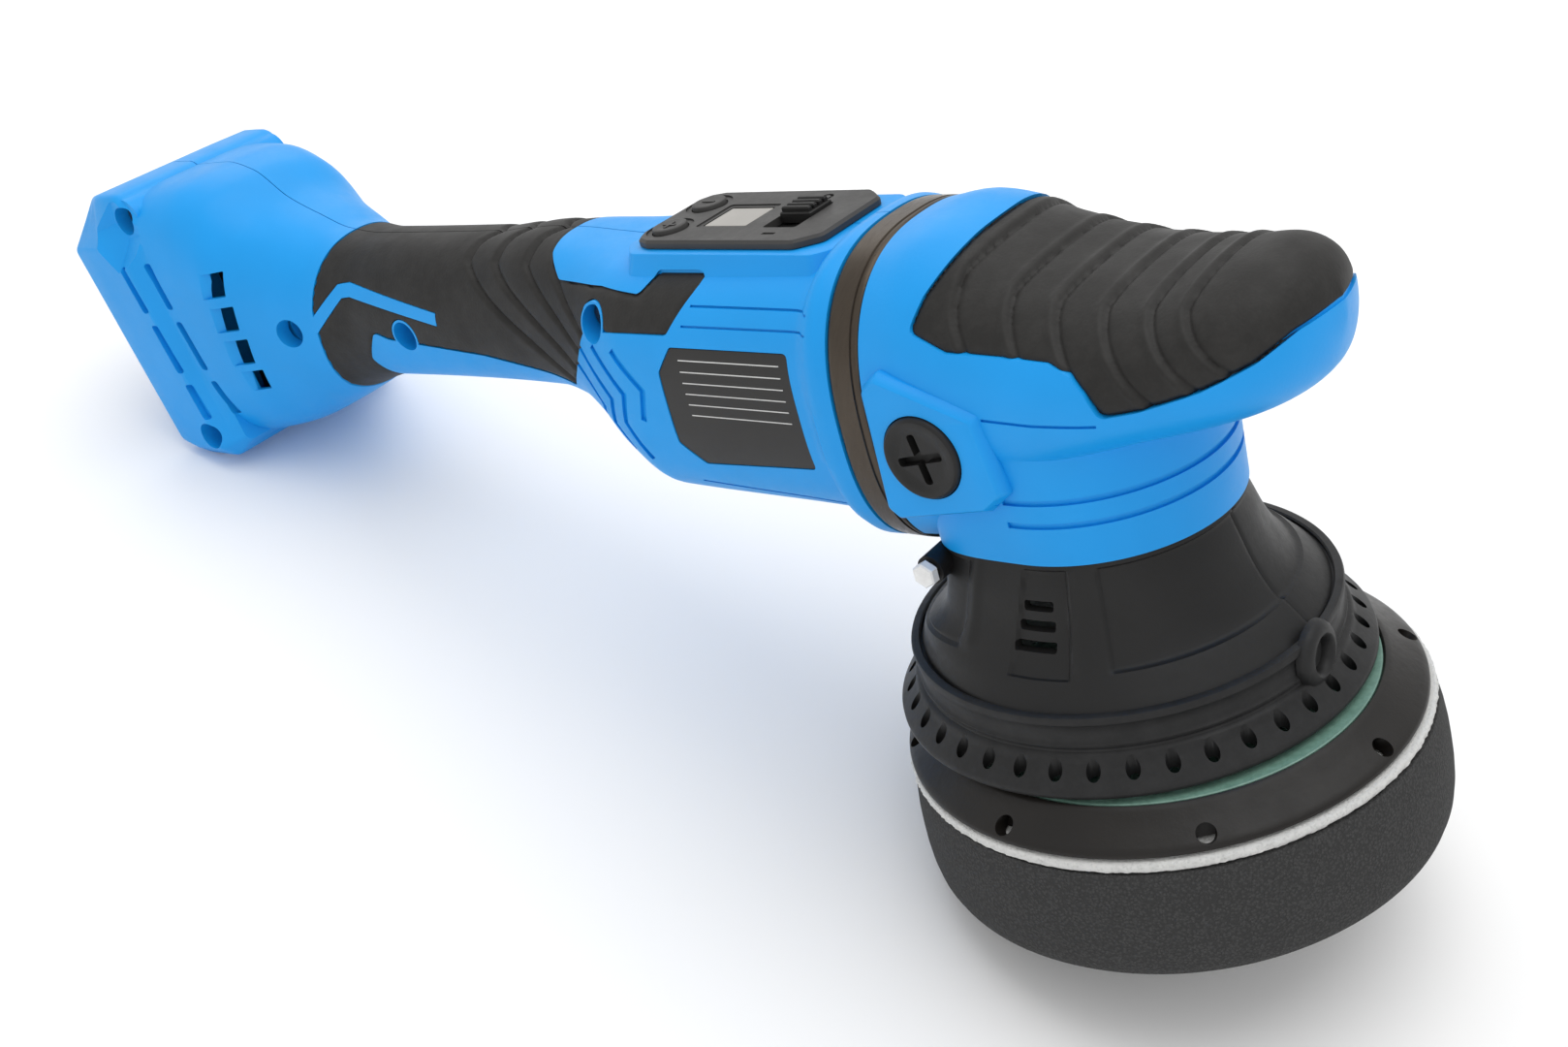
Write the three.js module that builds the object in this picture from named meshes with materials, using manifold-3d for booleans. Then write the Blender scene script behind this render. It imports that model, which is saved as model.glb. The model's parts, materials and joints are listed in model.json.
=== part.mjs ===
// Cordless dual action polisher with a bare battery foot, in millimetres.
// The tool is modelled upright on its spindle: the spindle axis is +Z, the working face of the foam pad
// is z = 0, the nose points along +X and the battery foot along -X. The whole group is then tipped
// nose up onto the two edges that a polisher put down on its pad rests on, and stands on z = 0.
import * as THREE from "three";
import { mergeVertices } from "three/addons/utils/BufferGeometryUtils.js";
import Module from "manifold-3d";

const wasm = await Module();
wasm.setup();

// Driving dimensions
const GAP = 0.3; // clearance between two pieces that touch
const WALL = 2.6; // moulded shell thickness
const RUBBER = 1.8; // overmoulding thickness
const ECCENTRICITY = 7.5; // half of the 15 mm orbit
const ORBIT_ANGLE = THREE.MathUtils.degToRad(-19); // where the eccentric points at rest
const PLATE_RADIUS = 62.5; // backing plate, 125 mm across
const FOAM_THICKNESS = 30;
const LOOP_THICKNESS = 2.7;
const PLATE_THICKNESS = 5.2;
const HUB_THICKNESS = 2.8;
const SKIRT_HOLES = 39;
const PLATE_PORTS = 8;
const MOTOR_Z = 121; // barrel axis above the pad face
const CROWN_TEETH = 24;
const PINION_TEETH = 8;
const FOOT_LEAN = THREE.MathUtils.degToRad(13);
const FOOT = { x: -341, z: 134, slab: 44, width: 61, depth: 12, lip: 3, throat: 52 };
const PANEL = { rear: -113, front: -53, halfWidth: 16.6, base: 155.3, top: 157.3 };
const RING = { rear: -41.5, front: -32.5, halfWidth: 36, bottom: 79, middle: 118, top: 158.5 };
const COLLAR_Z = 88; // lower edge of the head's collar
const BELL_Z = 59; // lower edge of the bell

// Sections across X: x, half width, bottom, widest height, top, squareness below and above (2 is round).
const RING_SECTION = [RING.halfWidth, RING.bottom, RING.middle, RING.top, 2.45, 2.7];
const BARREL_SECTIONS = [
  [-303, 36.5, 90, 134, 179, 4.2, 4.2],
  [-290, 34, 92, 134, 174, 3.2, 3.2],
  [-277, 30, 96, 132, 166.5, 2.8, 2.8],
  [-264, 25.6, 101, 131, 159.5, 2.5, 2.5],
  [-251, 22, 106, 131, 154.8, 2.3, 2.3],
  [-236, 20.2, 109, 131, 153.2, 2.3, 2.3],
  [-185, 20, 110, 131, 153.6, 2.3, 2.3],
  [-160, 20.8, 110, 132, 155, 2.4, 2.4],
  [-145, 23, 107.5, 131, 155, 2.5, 2.5],
  [-133, 27, 101, 129, 154.8, 2.6, 2.8],
  [-122, 31.5, 92.5, 126, 154.8, 2.8, 3.2],
  [-110, 34.2, 88, 123, 154.8, 3, 3.4],
  [-52.5, 34.6, 87, 122, 154.8, 3, 3.4],
  [-49.2, 36.2, 81.5, 119, 156, 2.5, 3],
  [-45.5, 36.6, 79, 118, 157.6, 2.45, 2.8],
  [RING.rear - GAP, ...RING_SECTION],
];
const HEAD_SECTIONS = [
  [RING.front + GAP, ...RING_SECTION],
  [-22, 36.5, 82, 121, 161.3, 2.6, 2.6],
  [-12, 36.5, 92, 123, 161.5, 2.7, 2.5],
  [-3, 36.5, 100, 124, 158.2, 2.8, 2.4],
  [8, 36.5, 106, 124.5, 154.5, 2.8, 2.4],
  [20, 36, 111, 125, 151.8, 2.7, 2.3],
  [32, 34, 114, 127, 150.6, 2.6, 2.3],
  [44, 30.5, 116, 129.5, 151.2, 2.5, 2.2],
  [53, 26, 118, 131.5, 152, 2.4, 2.2],
  [60, 19.5, 121, 134, 150.5, 2.3, 2.2],
  [65.5, 11.5, 125, 136, 146.5, 2.2, 2.2],
  [68.4, 4, 131.5, 137, 141.5, 2, 2],
];
// Level sections of the collar and of the bell: z, rear x, front radius, half width. The front is round
// about the spindle and the rear is nearly square.
const COLLAR_SECTIONS = [
  [COLLAR_Z, -31, 34.2, 34],
  [104, -31.5, 34.4, 34.6],
  [124, -31, 35, 35.4],
];
const BELL_SECTIONS = [
  [BELL_Z, -48.7, 48.7, 48.7],
  [63, -44.6, 45.2, 45.2],
  [68, -38.5, 41, 41],
  [74, -31.8, 38, 38],
  [82, -31, 35.4, 35.4],
  [COLLAR_Z - GAP, -30.6, 33.6, 33.4],
];

// Outline of the rubber on the grip, seen from the side as x, z.
const GRIP_OUTLINE = [
  [-246, 164], [-250.5, 146], [-253, 137], [-254.5, 125], [-257.5, 109], [-256, 98],
  [-233, 98], [-237, 120], [-229, 129.5], [-223, 127.5], [-182, 123.7], [-164, 120.5], [-146, 117],
  [-138, 124], [-128, 135], [-125, 138], [-113, 139], [-93, 139], [-83.5, 151.5], [-101, 151.3],
  [-105, 147], [-120, 148], [-140, 147.7], [-147.5, 152.5], [-149.5, 156], [-149.5, 164],
];
// Outline of the rubber palm grip, seen from the side as x, z.
const PALM_OUTLINE = [
  [-3, 175], [-5, 161], [-10.5, 157], [-15.5, 149], [-18, 142.5], [-11, 136], [5, 134],
  [18, 133], [24, 130], [28, 125.5], [36, 126], [48, 130], [57.5, 133.5], [63, 137.5], [80, 142], [80, 175],
];

// Materials
const plastic = (color, roughness) =>
  new THREE.MeshStandardMaterial({ color, roughness, metalness: 0 });
const metal = (color, roughness) =>
  new THREE.MeshStandardMaterial({ color, roughness, metalness: 1 });
const BLUE = plastic(0x2490f0, 0.5);
const BLACK = plastic(0x1c1c1e, 0.45);
const RUBBER_BLACK = plastic(0x2b2927, 0.75);
const DARK_GREY = plastic(0x3a3836, 0.6);
const FOAM = plastic(0x38393c, 0.95);
const WHITE_LOOP = plastic(0xf2f2ee, 0.95);
const GREEN_LAMINATE = plastic(0x4f8f78, 0.5);
const CIRCUIT = plastic(0x1d5b3a, 0.6);
const GLASS = plastic(0xb4b2aa, 0.15);
const BRONZE = metal(0x5b5148, 0.35);
const STEEL = metal(0xb9bcc0, 0.3);
const ALUMINIUM = metal(0xa9abad, 0.45);
const COPPER = metal(0xb87333, 0.35);
const BRASS = metal(0xc9a24a, 0.35);
const LEAD_RED = plastic(0xa32020, 0.5);
const LEAD_BLACK = plastic(0x151515, 0.5);

// A geometry as a solid whose faces point out.
function solidOf(geometry) {
  const bare = new THREE.BufferGeometry().setAttribute("position", geometry.getAttribute("position"));
  if (geometry.index) bare.setIndex(geometry.index);
  const merged = mergeVertices(bare, 1e-4);
  const corners = merged.index.array;
  const kept = [];
  for (let i = 0; i < corners.length; i += 3) {
    const [a, b, c] = [corners[i], corners[i + 1], corners[i + 2]];
    if (a !== b && b !== c && a !== c) kept.push(a, b, c);
  }
  if (signedVolume(merged.attributes.position, kept) < 0) kept.reverse();
  return new wasm.Manifold(
    new wasm.Mesh({
      numProp: 3,
      vertProperties: new Float32Array(merged.attributes.position.array),
      triVerts: new Uint32Array(kept),
    }),
  );
}

function signedVolume(position, corners) {
  const [a, b, c] = [new THREE.Vector3(), new THREE.Vector3(), new THREE.Vector3()];
  let volume = 0;
  for (let i = 0; i < corners.length; i += 3) {
    a.fromBufferAttribute(position, corners[i]);
    b.fromBufferAttribute(position, corners[i + 1]);
    c.fromBufferAttribute(position, corners[i + 2]);
    volume += a.dot(b.cross(c)) / 6;
  }
  return volume;
}

function geometryOf(solid) {
  const mesh = solid.getMesh();
  const points = new Float32Array(mesh.numVert * 3);
  for (let i = 0; i < mesh.numVert; i++) {
    points.set(mesh.vertProperties.subarray(i * mesh.numProp, i * mesh.numProp + 3), i * 3);
  }
  return new THREE.BufferGeometry()
    .setAttribute("position", new THREE.BufferAttribute(points, 3))
    .setIndex(new THREE.BufferAttribute(new Uint32Array(mesh.triVerts), 1));
}

// Solids of plain shapes
const join = (first, ...rest) => rest.reduce((sum, next) => sum.add(next), first);
const cut = (first, ...rest) => rest.reduce((left, next) => left.subtract(next), first);

function box([x0, y0, z0], [x1, y1, z1]) {
  const geometry = new THREE.BoxGeometry(x1 - x0, y1 - y0, z1 - z0);
  return solidOf(geometry.translate((x0 + x1) / 2, (y0 + y1) / 2, (z0 + z1) / 2));
}

// A round bar along Z, X or Y between two heights, with its axis through the given point.
function barZ(radius, z0, z1, [x, y] = [0, 0], sides = 16) {
  const geometry = new THREE.CylinderGeometry(radius, radius, z1 - z0, sides).rotateX(Math.PI / 2);
  return solidOf(geometry.translate(x, y, (z0 + z1) / 2));
}
function barX(radius, x0, x1, [y, z] = [0, MOTOR_Z], sides = 16) {
  const geometry = new THREE.CylinderGeometry(radius, radius, x1 - x0, sides).rotateZ(Math.PI / 2);
  return solidOf(geometry.translate((x0 + x1) / 2, y, z));
}
function barY(radius, y0, y1, [x, z], sides = 12) {
  const geometry = new THREE.CylinderGeometry(radius, radius, y1 - y0, sides);
  return solidOf(geometry.translate(x, (y0 + y1) / 2, z));
}

// A ring or plug turned about Z from a closed profile of [radius, z] points.
function turned(profile, sides = 48, [x, y] = [0, 0]) {
  const points = [...profile, profile[0]].map(([r, z]) => new THREE.Vector2(r, z));
  return solidOf(new THREE.LatheGeometry(points, sides).rotateX(Math.PI / 2).translate(x, y, 0));
}

// A side outline of [x, z] points, extruded along Y.
function slabY(outline, y0, y1) {
  const shape = new THREE.Shape(outline.map(([x, z]) => new THREE.Vector2(x, z)));
  const geometry = new THREE.ExtrudeGeometry(shape, { depth: y1 - y0, bevelEnabled: false });
  return solidOf(geometry.rotateX(Math.PI / 2).translate(0, y1, 0));
}

// A plan outline of [x, y] points, extruded along Z.
function slabZ(outline, z0, z1) {
  const shape = new THREE.Shape(outline.map(([x, y]) => new THREE.Vector2(x, y)));
  const geometry = new THREE.ExtrudeGeometry(shape, { depth: z1 - z0, bevelEnabled: false });
  return solidOf(geometry.translate(0, 0, z0));
}

// A smooth skin over closed rings of points, with flat ends.
function loft(rings) {
  const sides = rings[0].length;
  const points = rings.flat();
  const faces = [];
  for (let k = 0; k + 1 < rings.length; k++) {
    for (let i = 0; i < sides; i++) {
      const j = (i + 1) % sides;
      const [a, b] = [k * sides + i, k * sides + j];
      faces.push(a, b, b + sides, a, b + sides, a + sides);
    }
  }
  const last = (rings.length - 1) * sides;
  for (let i = 1; i + 1 < sides; i++) faces.push(0, i + 1, i, last, last + i, last + i + 1);
  return solidOf(new THREE.BufferGeometry().setFromPoints(points).setIndex(faces));
}

// One step round a superellipse, from -1 to 1 each way.
function roundStep(angle, squareness) {
  const curve = (v) => Math.sign(v) * Math.abs(v) ** (2 / squareness);
  return [curve(Math.cos(angle)), curve(Math.sin(angle))];
}

const SECTION_SIDES = 20;
const ringAngles = Array.from({ length: SECTION_SIDES }, (_, i) => (2 * Math.PI * i) / SECTION_SIDES);

// A ring across X, leaning back by an angle about its widest height.
function ringAcrossX([x, halfWidth, bottom, middle, top, below, above], inset = 0, lean = 0) {
  return ringAngles.map((angle) => {
    const [u, v] = roundStep(angle, Math.sin(angle) < 0 ? below : above);
    const z = v * ((v < 0 ? middle - bottom : top - middle) - inset);
    return new THREE.Vector3(x - z * Math.tan(lean), u * (halfWidth - inset), middle + z);
  });
}

// A level ring: round in front of the spindle, nearly square behind it.
function ringAcrossZ([z, rear, front, halfWidth], inset = 0) {
  const rearSquareness = Math.abs(rear + front) < 1 ? 2 : 4;
  return ringAngles.map((angle) => {
    const [u, v] = roundStep(angle, Math.cos(angle) < 0 ? rearSquareness : 2);
    return new THREE.Vector3(u * ((u < 0 ? -rear : front) - inset), v * (halfWidth - inset), z);
  });
}

const between = (sections, from, to) => sections.filter(([x]) => x >= from && x <= to);

// The inside of the barrel between a few of its stations.
function hollowLoft(inset, ...stations) {
  const chosen = BARREL_SECTIONS.filter(([x]) => stations.includes(x));
  return loft(chosen.map((section) => ringAcrossX(section, inset)));
}

function barrelLoft(inset, from = -1000, to = 1000) {
  return loft(between(BARREL_SECTIONS, from, to).map((section) => ringAcrossX(section, inset)));
}

// Scene groups: everything hangs in the tool group, which is tipped at the end.
const tool = new THREE.Group();
const polisher = new THREE.Group();
polisher.add(tool);

function node(name, solid, material) {
  const mesh = new THREE.Mesh(geometryOf(solid), material);
  mesh.name = name;
  tool.add(mesh);
  return mesh;
}

// The clamshell: battery foot, neck, handle and motor barrel, split on y = 0.
const SCREWS = [
  { name: "housing_screw_grip_rear", x: -264, z: 130.5, face: 24 },
  { name: "housing_screw_grip_middle", x: -214.5, z: 128.8, face: 19.6 },
  { name: "housing_screw_grip_front", x: -121, z: 140, face: 30 },
  { name: "housing_screw_foot_upper", x: -321, z: 170, face: 33 },
  { name: "housing_screw_foot_lower", x: -312, z: 98, face: 35 },
];
const SCREW = { counterbore: 4.6, shank: 1.6, boss: 6.6, seat: 8 };

// Supply leads from the terminal block to the motor controller board.
const LEAD_Z = 150;
const LEADS = [
  { name: "supply_lead_positive", y: -4, material: LEAD_RED },
  { name: "supply_lead_negative", y: 4, material: LEAD_BLACK },
];

// The foot's own directions: up along the leaning end face and into the slab.
const faceX = (z, depth) => FOOT.x - (z - FOOT.z) * Math.tan(FOOT_LEAN) + depth;
const leaning = (z0, z1, depth0, depth1) => [
  [faceX(z0, depth0), z0], [faceX(z0, depth1), z0], [faceX(z1, depth1), z1], [faceX(z1, depth0), z1],
];

// A leaning end face and an upright front, with the long corners cut off.
const FOOT_FRONT_X = -291;
function footSlab() {
  const ring = (inset, bottom, share) => [
    [38.4 - inset, bottom + 4.8], [38.4 - inset, 162], [31, 178.3 - inset], [-31, 178.3 - inset],
    [inset - 38.4, 162], [inset - 38.4, bottom + 4.8], [-33.4, bottom], [33.4, bottom],
  ].map(([y, z]) => new THREE.Vector3(faceX(z, 0) * (1 - share) + FOOT_FRONT_X * share, y, z));
  return loft([ring(2.25, 92, 0), ring(0, 90.41, 0.06), ring(0, 88.6, 0.2), ring(0.8, 88.6, 1)]);
}

function batteryChannel() {
  const half = FOOT.width / 2;
  return join(
    slabY(leaning(80, 168, FOOT.lip, FOOT.depth), -half, half),
    slabY(leaning(80, 168, -5, FOOT.lip + 0.01), -FOOT.throat / 2, FOOT.throat / 2),
  );
}

function housing() {
  const outer = join(footSlab(), barrelLoft(0), panelBlock());
  const hollow = join(
    hollowLoft(WALL, -303, -277, -251),
    hollowLoft(WALL + RUBBER + GAP, -264, -236, -160, -133),
    hollowLoft(WALL, -145, -133, -122, -110, -52.5, -49.2),
    loft([-49.5, RING.rear + 5].map((x) => ringAcrossX([x, ...RING_SECTION], WALL + 1.2))),
  );
  const bosses = join(...SCREWS.map(({ x, z, face }) => barY(SCREW.boss, -face + 2, face - 2, [x, z], 12)));
  const shell = join(cut(outer, hollow), bosses.intersect(outer));
  const grip = cut(slabY(GRIP_OUTLINE, -60, 60), barrelLoft(RUBBER + GAP),
    ...SCREWS.slice(1, 3).map(({ x, z }) => barY(SCREW.counterbore + 0.7, -60, 60, [x, z])));
  const bores = SCREWS.flatMap(({ x, z, face }) => [
    barY(SCREW.counterbore, -60, -face + SCREW.seat, [x, z]),
    barY(SCREW.shank + GAP, -face + SCREW.seat - 1, face - 6, [x, z], 10),
  ]);
  const leadHoles = LEADS.map(({ y }) => barX(3.4, -322, -297, [y, LEAD_Z], 8));
  return cut(shell, cut(grip, besidePanel()), batteryChannel(), terminalBay(), ...bores,
    ...neckVents(), motorSpace(), panelPocket(), labelRecess(), ...leadHoles);
}

// Room for the motor and its bearings inside the barrel.
const motorSpace = () => join(barX(30.4, -119, -40), barX(11.5, -130, -118));

// The top of the barrel carries the panel, so the rubber's forward arms stay on its sides.
const besidePanel = () => box([-134, -19.5, 140], [-50, 19.5, 170]);

// The blank rating plate sits in a shallow recess on the near side.
const LABEL_OUTLINE = [[-92, 136.5], [-54, 136.5], [-54, 106.5], [-91, 104.5], [-97.5, 110.5], [-97, 130]];
const labelRecess = () => cut(slabY(LABEL_OUTLINE, -60, -20), barrelLoft(1.1));

function panelBlock() {
  const { rear, front, halfWidth, base } = PANEL;
  const outline = [
    [rear - 4, -13], [rear + 2, -halfWidth - 2.5], [front + 1, -halfWidth - 2.5],
    [front + 5, -halfWidth + 1], [front + 5, halfWidth - 1], [front + 1, halfWidth + 2.5],
    [rear + 2, halfWidth + 2.5], [rear - 4, 13],
  ];
  return slabZ(outline, 148, base - GAP);
}

// The seat of the control panel, with the well for the control board under it.
function panelPocket() {
  const { rear, front, halfWidth, base } = PANEL;
  const seat = box([rear - GAP, -halfWidth - GAP, base - GAP], [front + GAP, halfWidth + GAP, 170]);
  return join(seat, box([-100, -9, 150], [-66, 9, base]));
}

// Four air slots in each side of the neck, in a row along the leaning front of the foot.
function neckVents() {
  return [0, 1, 2, 3].flatMap((i) => {
    const z = 149 - i * 11;
    const x = -286 - (z - FOOT.z) * Math.tan(FOOT_LEAN);
    const slot = [[x - 2.5, z - 4], [x + 2.5, z - 4], [x + 2.5, z + 4], [x - 2.5, z + 4]];
    return [slabY(slot, -60, -22), slabY(slot, 22, 60)];
  });
}

// The bay behind the battery channel that holds the terminal block.
const BAY = { low: 140, high: 164, depth: 26, half: 22 };
const terminalBay = () => slabY(leaning(BAY.low, BAY.high, FOOT.depth - 1, BAY.depth), -BAY.half, BAY.half);

const clamshell = housing();
const SIDE = { left: [GAP / 2, 100], right: [-100, -GAP / 2] };
const halfOf = (solid, side) => solid.intersect(box([-500, SIDE[side][0], 0], [200, SIDE[side][1], 300]));
for (const side of ["right", "left"]) {
  const bores = SCREWS.map(({ x, z, face }) => barY(SCREW.counterbore, face - 5, 60, [x, z]));
  const half = halfOf(clamshell, side);
  node(`housing_${side}`, side === "left" ? cut(half, ...bores) : half, BLUE);
}

// Overmoulded rubber on each half of the grip.
function gripSkin() {
  const skin = cut(barrelLoft(0, -280, -60), barrelLoft(RUBBER, -280, -60));
  const clear = SCREWS.slice(1, 3).map(({ x, z }) =>
    barY(SCREW.counterbore + 1, -60, 60, [x, z]));
  return cut(skin.intersect(slabY(GRIP_OUTLINE, -60, 60)), besidePanel(), ...clear);
}
const rubber = gripSkin();
for (const side of ["right", "left"]) node(`grip_overmould_${side}`, halfOf(rubber, side), RUBBER_BLACK);

for (const { name, x, z, face } of SCREWS) {
  const seat = -face + SCREW.seat;
  const head = barY(SCREW.counterbore - 0.4, seat - 2.6, seat - GAP, [x, z], 12);
  const recess = barY(1.2, seat - 3, seat - 1.4, [x, z], 6);
  const shank = barY(SCREW.shank, seat - 0.5, face - 7, [x, z], 10);
  node(name, cut(join(head, shank), recess), STEEL);
}

const label = slabY(LABEL_OUTLINE, -60, -20).intersect(cut(barrelLoft(0.2), barrelLoft(0.8)));
node("rating_plate", label, DARK_GREY);

// Trim ring between the barrel and the head.
const ringOuter = (x, inset) => ringAcrossX([x, ...RING_SECTION], inset);
node(
  "trim_ring",
  cut(loft([ringOuter(RING.rear, 0.6), ringOuter(RING.rear + 2, 0), ringOuter(RING.front - 2, 0),
    ringOuter(RING.front, 0.6)]), loft([ringOuter(RING.rear - 1, 4), ringOuter(RING.front + 1, 4)])),
  BRONZE,
);

// Head shell: palm shelf, collar and the two side-handle bosses.
const BOSS_OUTLINE = [[-31, 131], [-26, 135], [-1, 126], [2.5, 107], [-3, 102.5], [-28, 98], [-31.5, 101]];
const PLUG = { x: -17, z: 115.6, radius: 10, face: 38.6, depth: 8 };
const headLoft = (inset, from = -1000, to = 1000) =>
  loft(between(HEAD_SECTIONS, from, to).map((section) => ringAcrossX(section, inset)));
const collarLoft = (inset) => loft(COLLAR_SECTIONS.map((section) => ringAcrossZ(section, inset)));
const PALM_RUBBER = 2.2;

function headShell() {
  const outer = join(headLoft(0), collarLoft(0), slabY(BOSS_OUTLINE, -PLUG.face, PLUG.face));
  const hollow = join(
    loft([[RING.front - 1, ...RING_SECTION], ...between(HEAD_SECTIONS, -30, 60)].map((s) =>
      ringAcrossX(s, WALL + PALM_RUBBER + GAP))),
    loft([[COLLAR_Z - 1, -31, 34.2, 34], ...COLLAR_SECTIONS.slice(1)].map((s) =>
      ringAcrossZ(s, WALL + 0.4))),
  );
  const palm = cut(slabY(PALM_OUTLINE, -60, 60), headLoft(PALM_RUBBER + GAP));
  const sockets = [-1, 1].map((side) =>
    side < 0
      ? barY(PLUG.radius + GAP, -60, -PLUG.face + PLUG.depth, [PLUG.x, PLUG.z], 20)
      : barY(PLUG.radius + GAP, PLUG.face - PLUG.depth, 60, [PLUG.x, PLUG.z], 20));
  const backs = [-1, 1].map((side) => barY(PLUG.radius + 2, side < 0 ? -36 : 28.6, side < 0 ? -28.6 : 36,
    [PLUG.x, PLUG.z], 20));
  const below = box([-40, -60, 0], [80, 60, COLLAR_Z]);
  return cut(join(cut(outer, hollow), ...backs), palm, below, ...sockets);
}
node("head_shell", headShell(), BLUE);
node(
  "palm_grip",
  cut(slabY(PALM_OUTLINE, -60, 60).intersect(headLoft(0)), headLoft(PALM_RUBBER)),
  RUBBER_BLACK,
);

for (const side of ["right", "left"]) {
  const sign = side === "right" ? -1 : 1;
  const span = (near, far) => [Math.min(sign * near, sign * far), Math.max(sign * near, sign * far)];
  const length = span(PLUG.face - PLUG.depth + GAP, PLUG.face + 1.2);
  const disc = barY(PLUG.radius, ...length, [PLUG.x, PLUG.z], 20);
  const slot = (dx, dz) => box([PLUG.x - dx, span(PLUG.face - 1.6, PLUG.face + 3)[0], PLUG.z - dz],
    [PLUG.x + dx, span(PLUG.face - 1.6, PLUG.face + 3)[1], PLUG.z + dz]);
  node(`side_handle_plug_${side}`, cut(disc, slot(6, 1.2), slot(1.2, 6)), BLACK);
}

// Control panel with its window, buttons and sliding switch.
const BUTTON = { x: -106, y: 7.8, radius: 4.6, lift: 0.9 };
const SWITCH = { rear: -75, front: -64.5, left: -8, right: 8, knob: 9 };
const WINDOW = { rear: -96.5, front: -82, half: 6.1 };

function controlPanel() {
  const { rear, front, halfWidth, base, top } = PANEL;
  const outline = [
    [rear, -halfWidth + 6], [rear + 1.8, -halfWidth + 1.8], [rear + 6, -halfWidth], [front - 6, -halfWidth],
    [front, -halfWidth + 5], [front, halfWidth - 5], [front - 6, halfWidth], [rear + 6, halfWidth],
    [rear + 1.8, halfWidth - 1.8], [rear, halfWidth - 6],
  ];
  return cut(
    slabZ(outline, base, top),
    ...[-1, 1].map((side) => barZ(BUTTON.radius + GAP, base - 1, top + 1, [BUTTON.x, side * BUTTON.y], 16)),
    box([SWITCH.rear, SWITCH.left, base - 1], [SWITCH.front, SWITCH.right, top + 1]),
    box([WINDOW.rear, -WINDOW.half, base - 1], [WINDOW.front, WINDOW.half, top + 1]),
  );
}
node("control_panel", controlPanel(), BLACK);
node(
  "lcd_window",
  box([WINDOW.rear + GAP, -WINDOW.half + GAP, PANEL.base + 0.2], [WINDOW.front - GAP, WINDOW.half - GAP,
    PANEL.top - GAP]),
  GLASS,
);
for (const [name, side] of [["button_plus", -1], ["button_minus", 1]]) {
  const at = [BUTTON.x, side * BUTTON.y];
  node(name, barZ(BUTTON.radius, PANEL.top - 1.1, PANEL.top + BUTTON.lift, at, 16), BLACK);
}

function switchKnob() {
  const middle = (SWITCH.rear + SWITCH.front) / 2;
  const half = (SWITCH.front - SWITCH.rear) / 2 - GAP;
  const low = SWITCH.right - GAP - SWITCH.knob;
  const cap = box([middle - half, low, PANEL.top - 1.6], [middle + half, low + SWITCH.knob, PANEL.top + 1]);
  const ridge = (y) =>
    box([middle - half + 0.6, y, PANEL.top + 0.9], [middle + half - 0.6, y + 1.4, PANEL.top + 2.2]);
  const ridges = [1, 3.6, 6.2].map((y) => ridge(low + y));
  return join(cap, ...ridges);
}
node("power_switch_knob", switchKnob(), BLACK);

// Boards, terminal block, blades and supply leads.
node("control_board", box([-99.5, -8.6, 153.2], [-66.5, 8.6, 154.8]), CIRCUIT);
const BOARD = { rear: -172, front: -134, half: 11, z: 119.5 };
node(
  "motor_controller_board",
  join(box([BOARD.rear, -BOARD.half, BOARD.z], [BOARD.front, BOARD.half, BOARD.z + 1.6]),
    ...[0, 1, 2].map((i) => box([BOARD.rear + 4 + i * 11, -7, BOARD.z + 1.5], [BOARD.rear + 11 + i * 11, 7,
      BOARD.z + 6]))),
  CIRCUIT,
);
const bladeSlots = (half, grow) => [-12, 0, 12].map((y) =>
  slabY(leaning(BAY.low - 12, BAY.low + 8, FOOT.depth + 4 - grow, FOOT.depth + 5 + grow),
    y - half, y + half));
node(
  "terminal_block",
  cut(slabY(leaning(BAY.low + GAP, BAY.high - GAP, FOOT.depth - 0.5, BAY.depth - GAP), -BAY.half + GAP,
    BAY.half - GAP), ...bladeSlots(3.2, 0.4)),
  BLACK,
);
["positive", "data", "negative"].forEach((name, i) => {
  const y = (i - 1) * 12;
  node(`terminal_blade_${name}`,
    slabY(leaning(BAY.low + 1, BAY.low + 7.6, FOOT.depth + 4, FOOT.depth + 5), y - 2.8, y + 2.8), BRASS);
});
LEADS.forEach(({ name, y, material }) => {
  const route = new THREE.CatmullRomCurve3([[-317, LEAD_Z], [-303, LEAD_Z - 0.2], [-285, 130], [-271, 118],
    [-205, 118.5], [BOARD.rear - 1, BOARD.z + 0.8]].map(([x, z]) => new THREE.Vector3(x, y, z)));
  const ring = new THREE.Shape(ringAngles.filter((_, i) => i % 4 === 0)
    .map((a) => new THREE.Vector2(1.5 * Math.cos(a), 1.5 * Math.sin(a))));
  node(name, solidOf(new THREE.ExtrudeGeometry(ring, { steps: 14, extrudePath: route })), material);
});

// Motor: stator, rotor, bearings, fan and pinion along the barrel axis.
const tube = (outer, inner, x0, x1) => cut(barX(outer, x0, x1), barX(inner, x0 - 1, x1 + 1));
node("motor_stator", tube(30, 22.3, -116, -74), COPPER);
node("motor_bearing_rear", tube(11, 4.3, -126, -119.5), STEEL);
node("motor_bearing_front", tube(13, 4.3, -54, -46), STEEL);
node("rotor", join(barX(21.5, -113, -77), barX(4, -128, -13)), STEEL);

function coolingFan() {
  const hub = cut(join(barX(9, -71, -60), barX(27, -71, -69.5)), barX(4.3, -80, -50));
  const blades = Array.from({ length: 9 }, (_, i) => {
    const blade = new THREE.BoxGeometry(9, 1.2, 19).translate(-65, 0, 17.5).rotateX((2 * Math.PI * i) / 9);
    return solidOf(blade.translate(0, 0, MOTOR_Z));
  });
  return join(hub, ...blades);
}
node("cooling_fan", coolingFan(), DARK_GREY);

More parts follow.
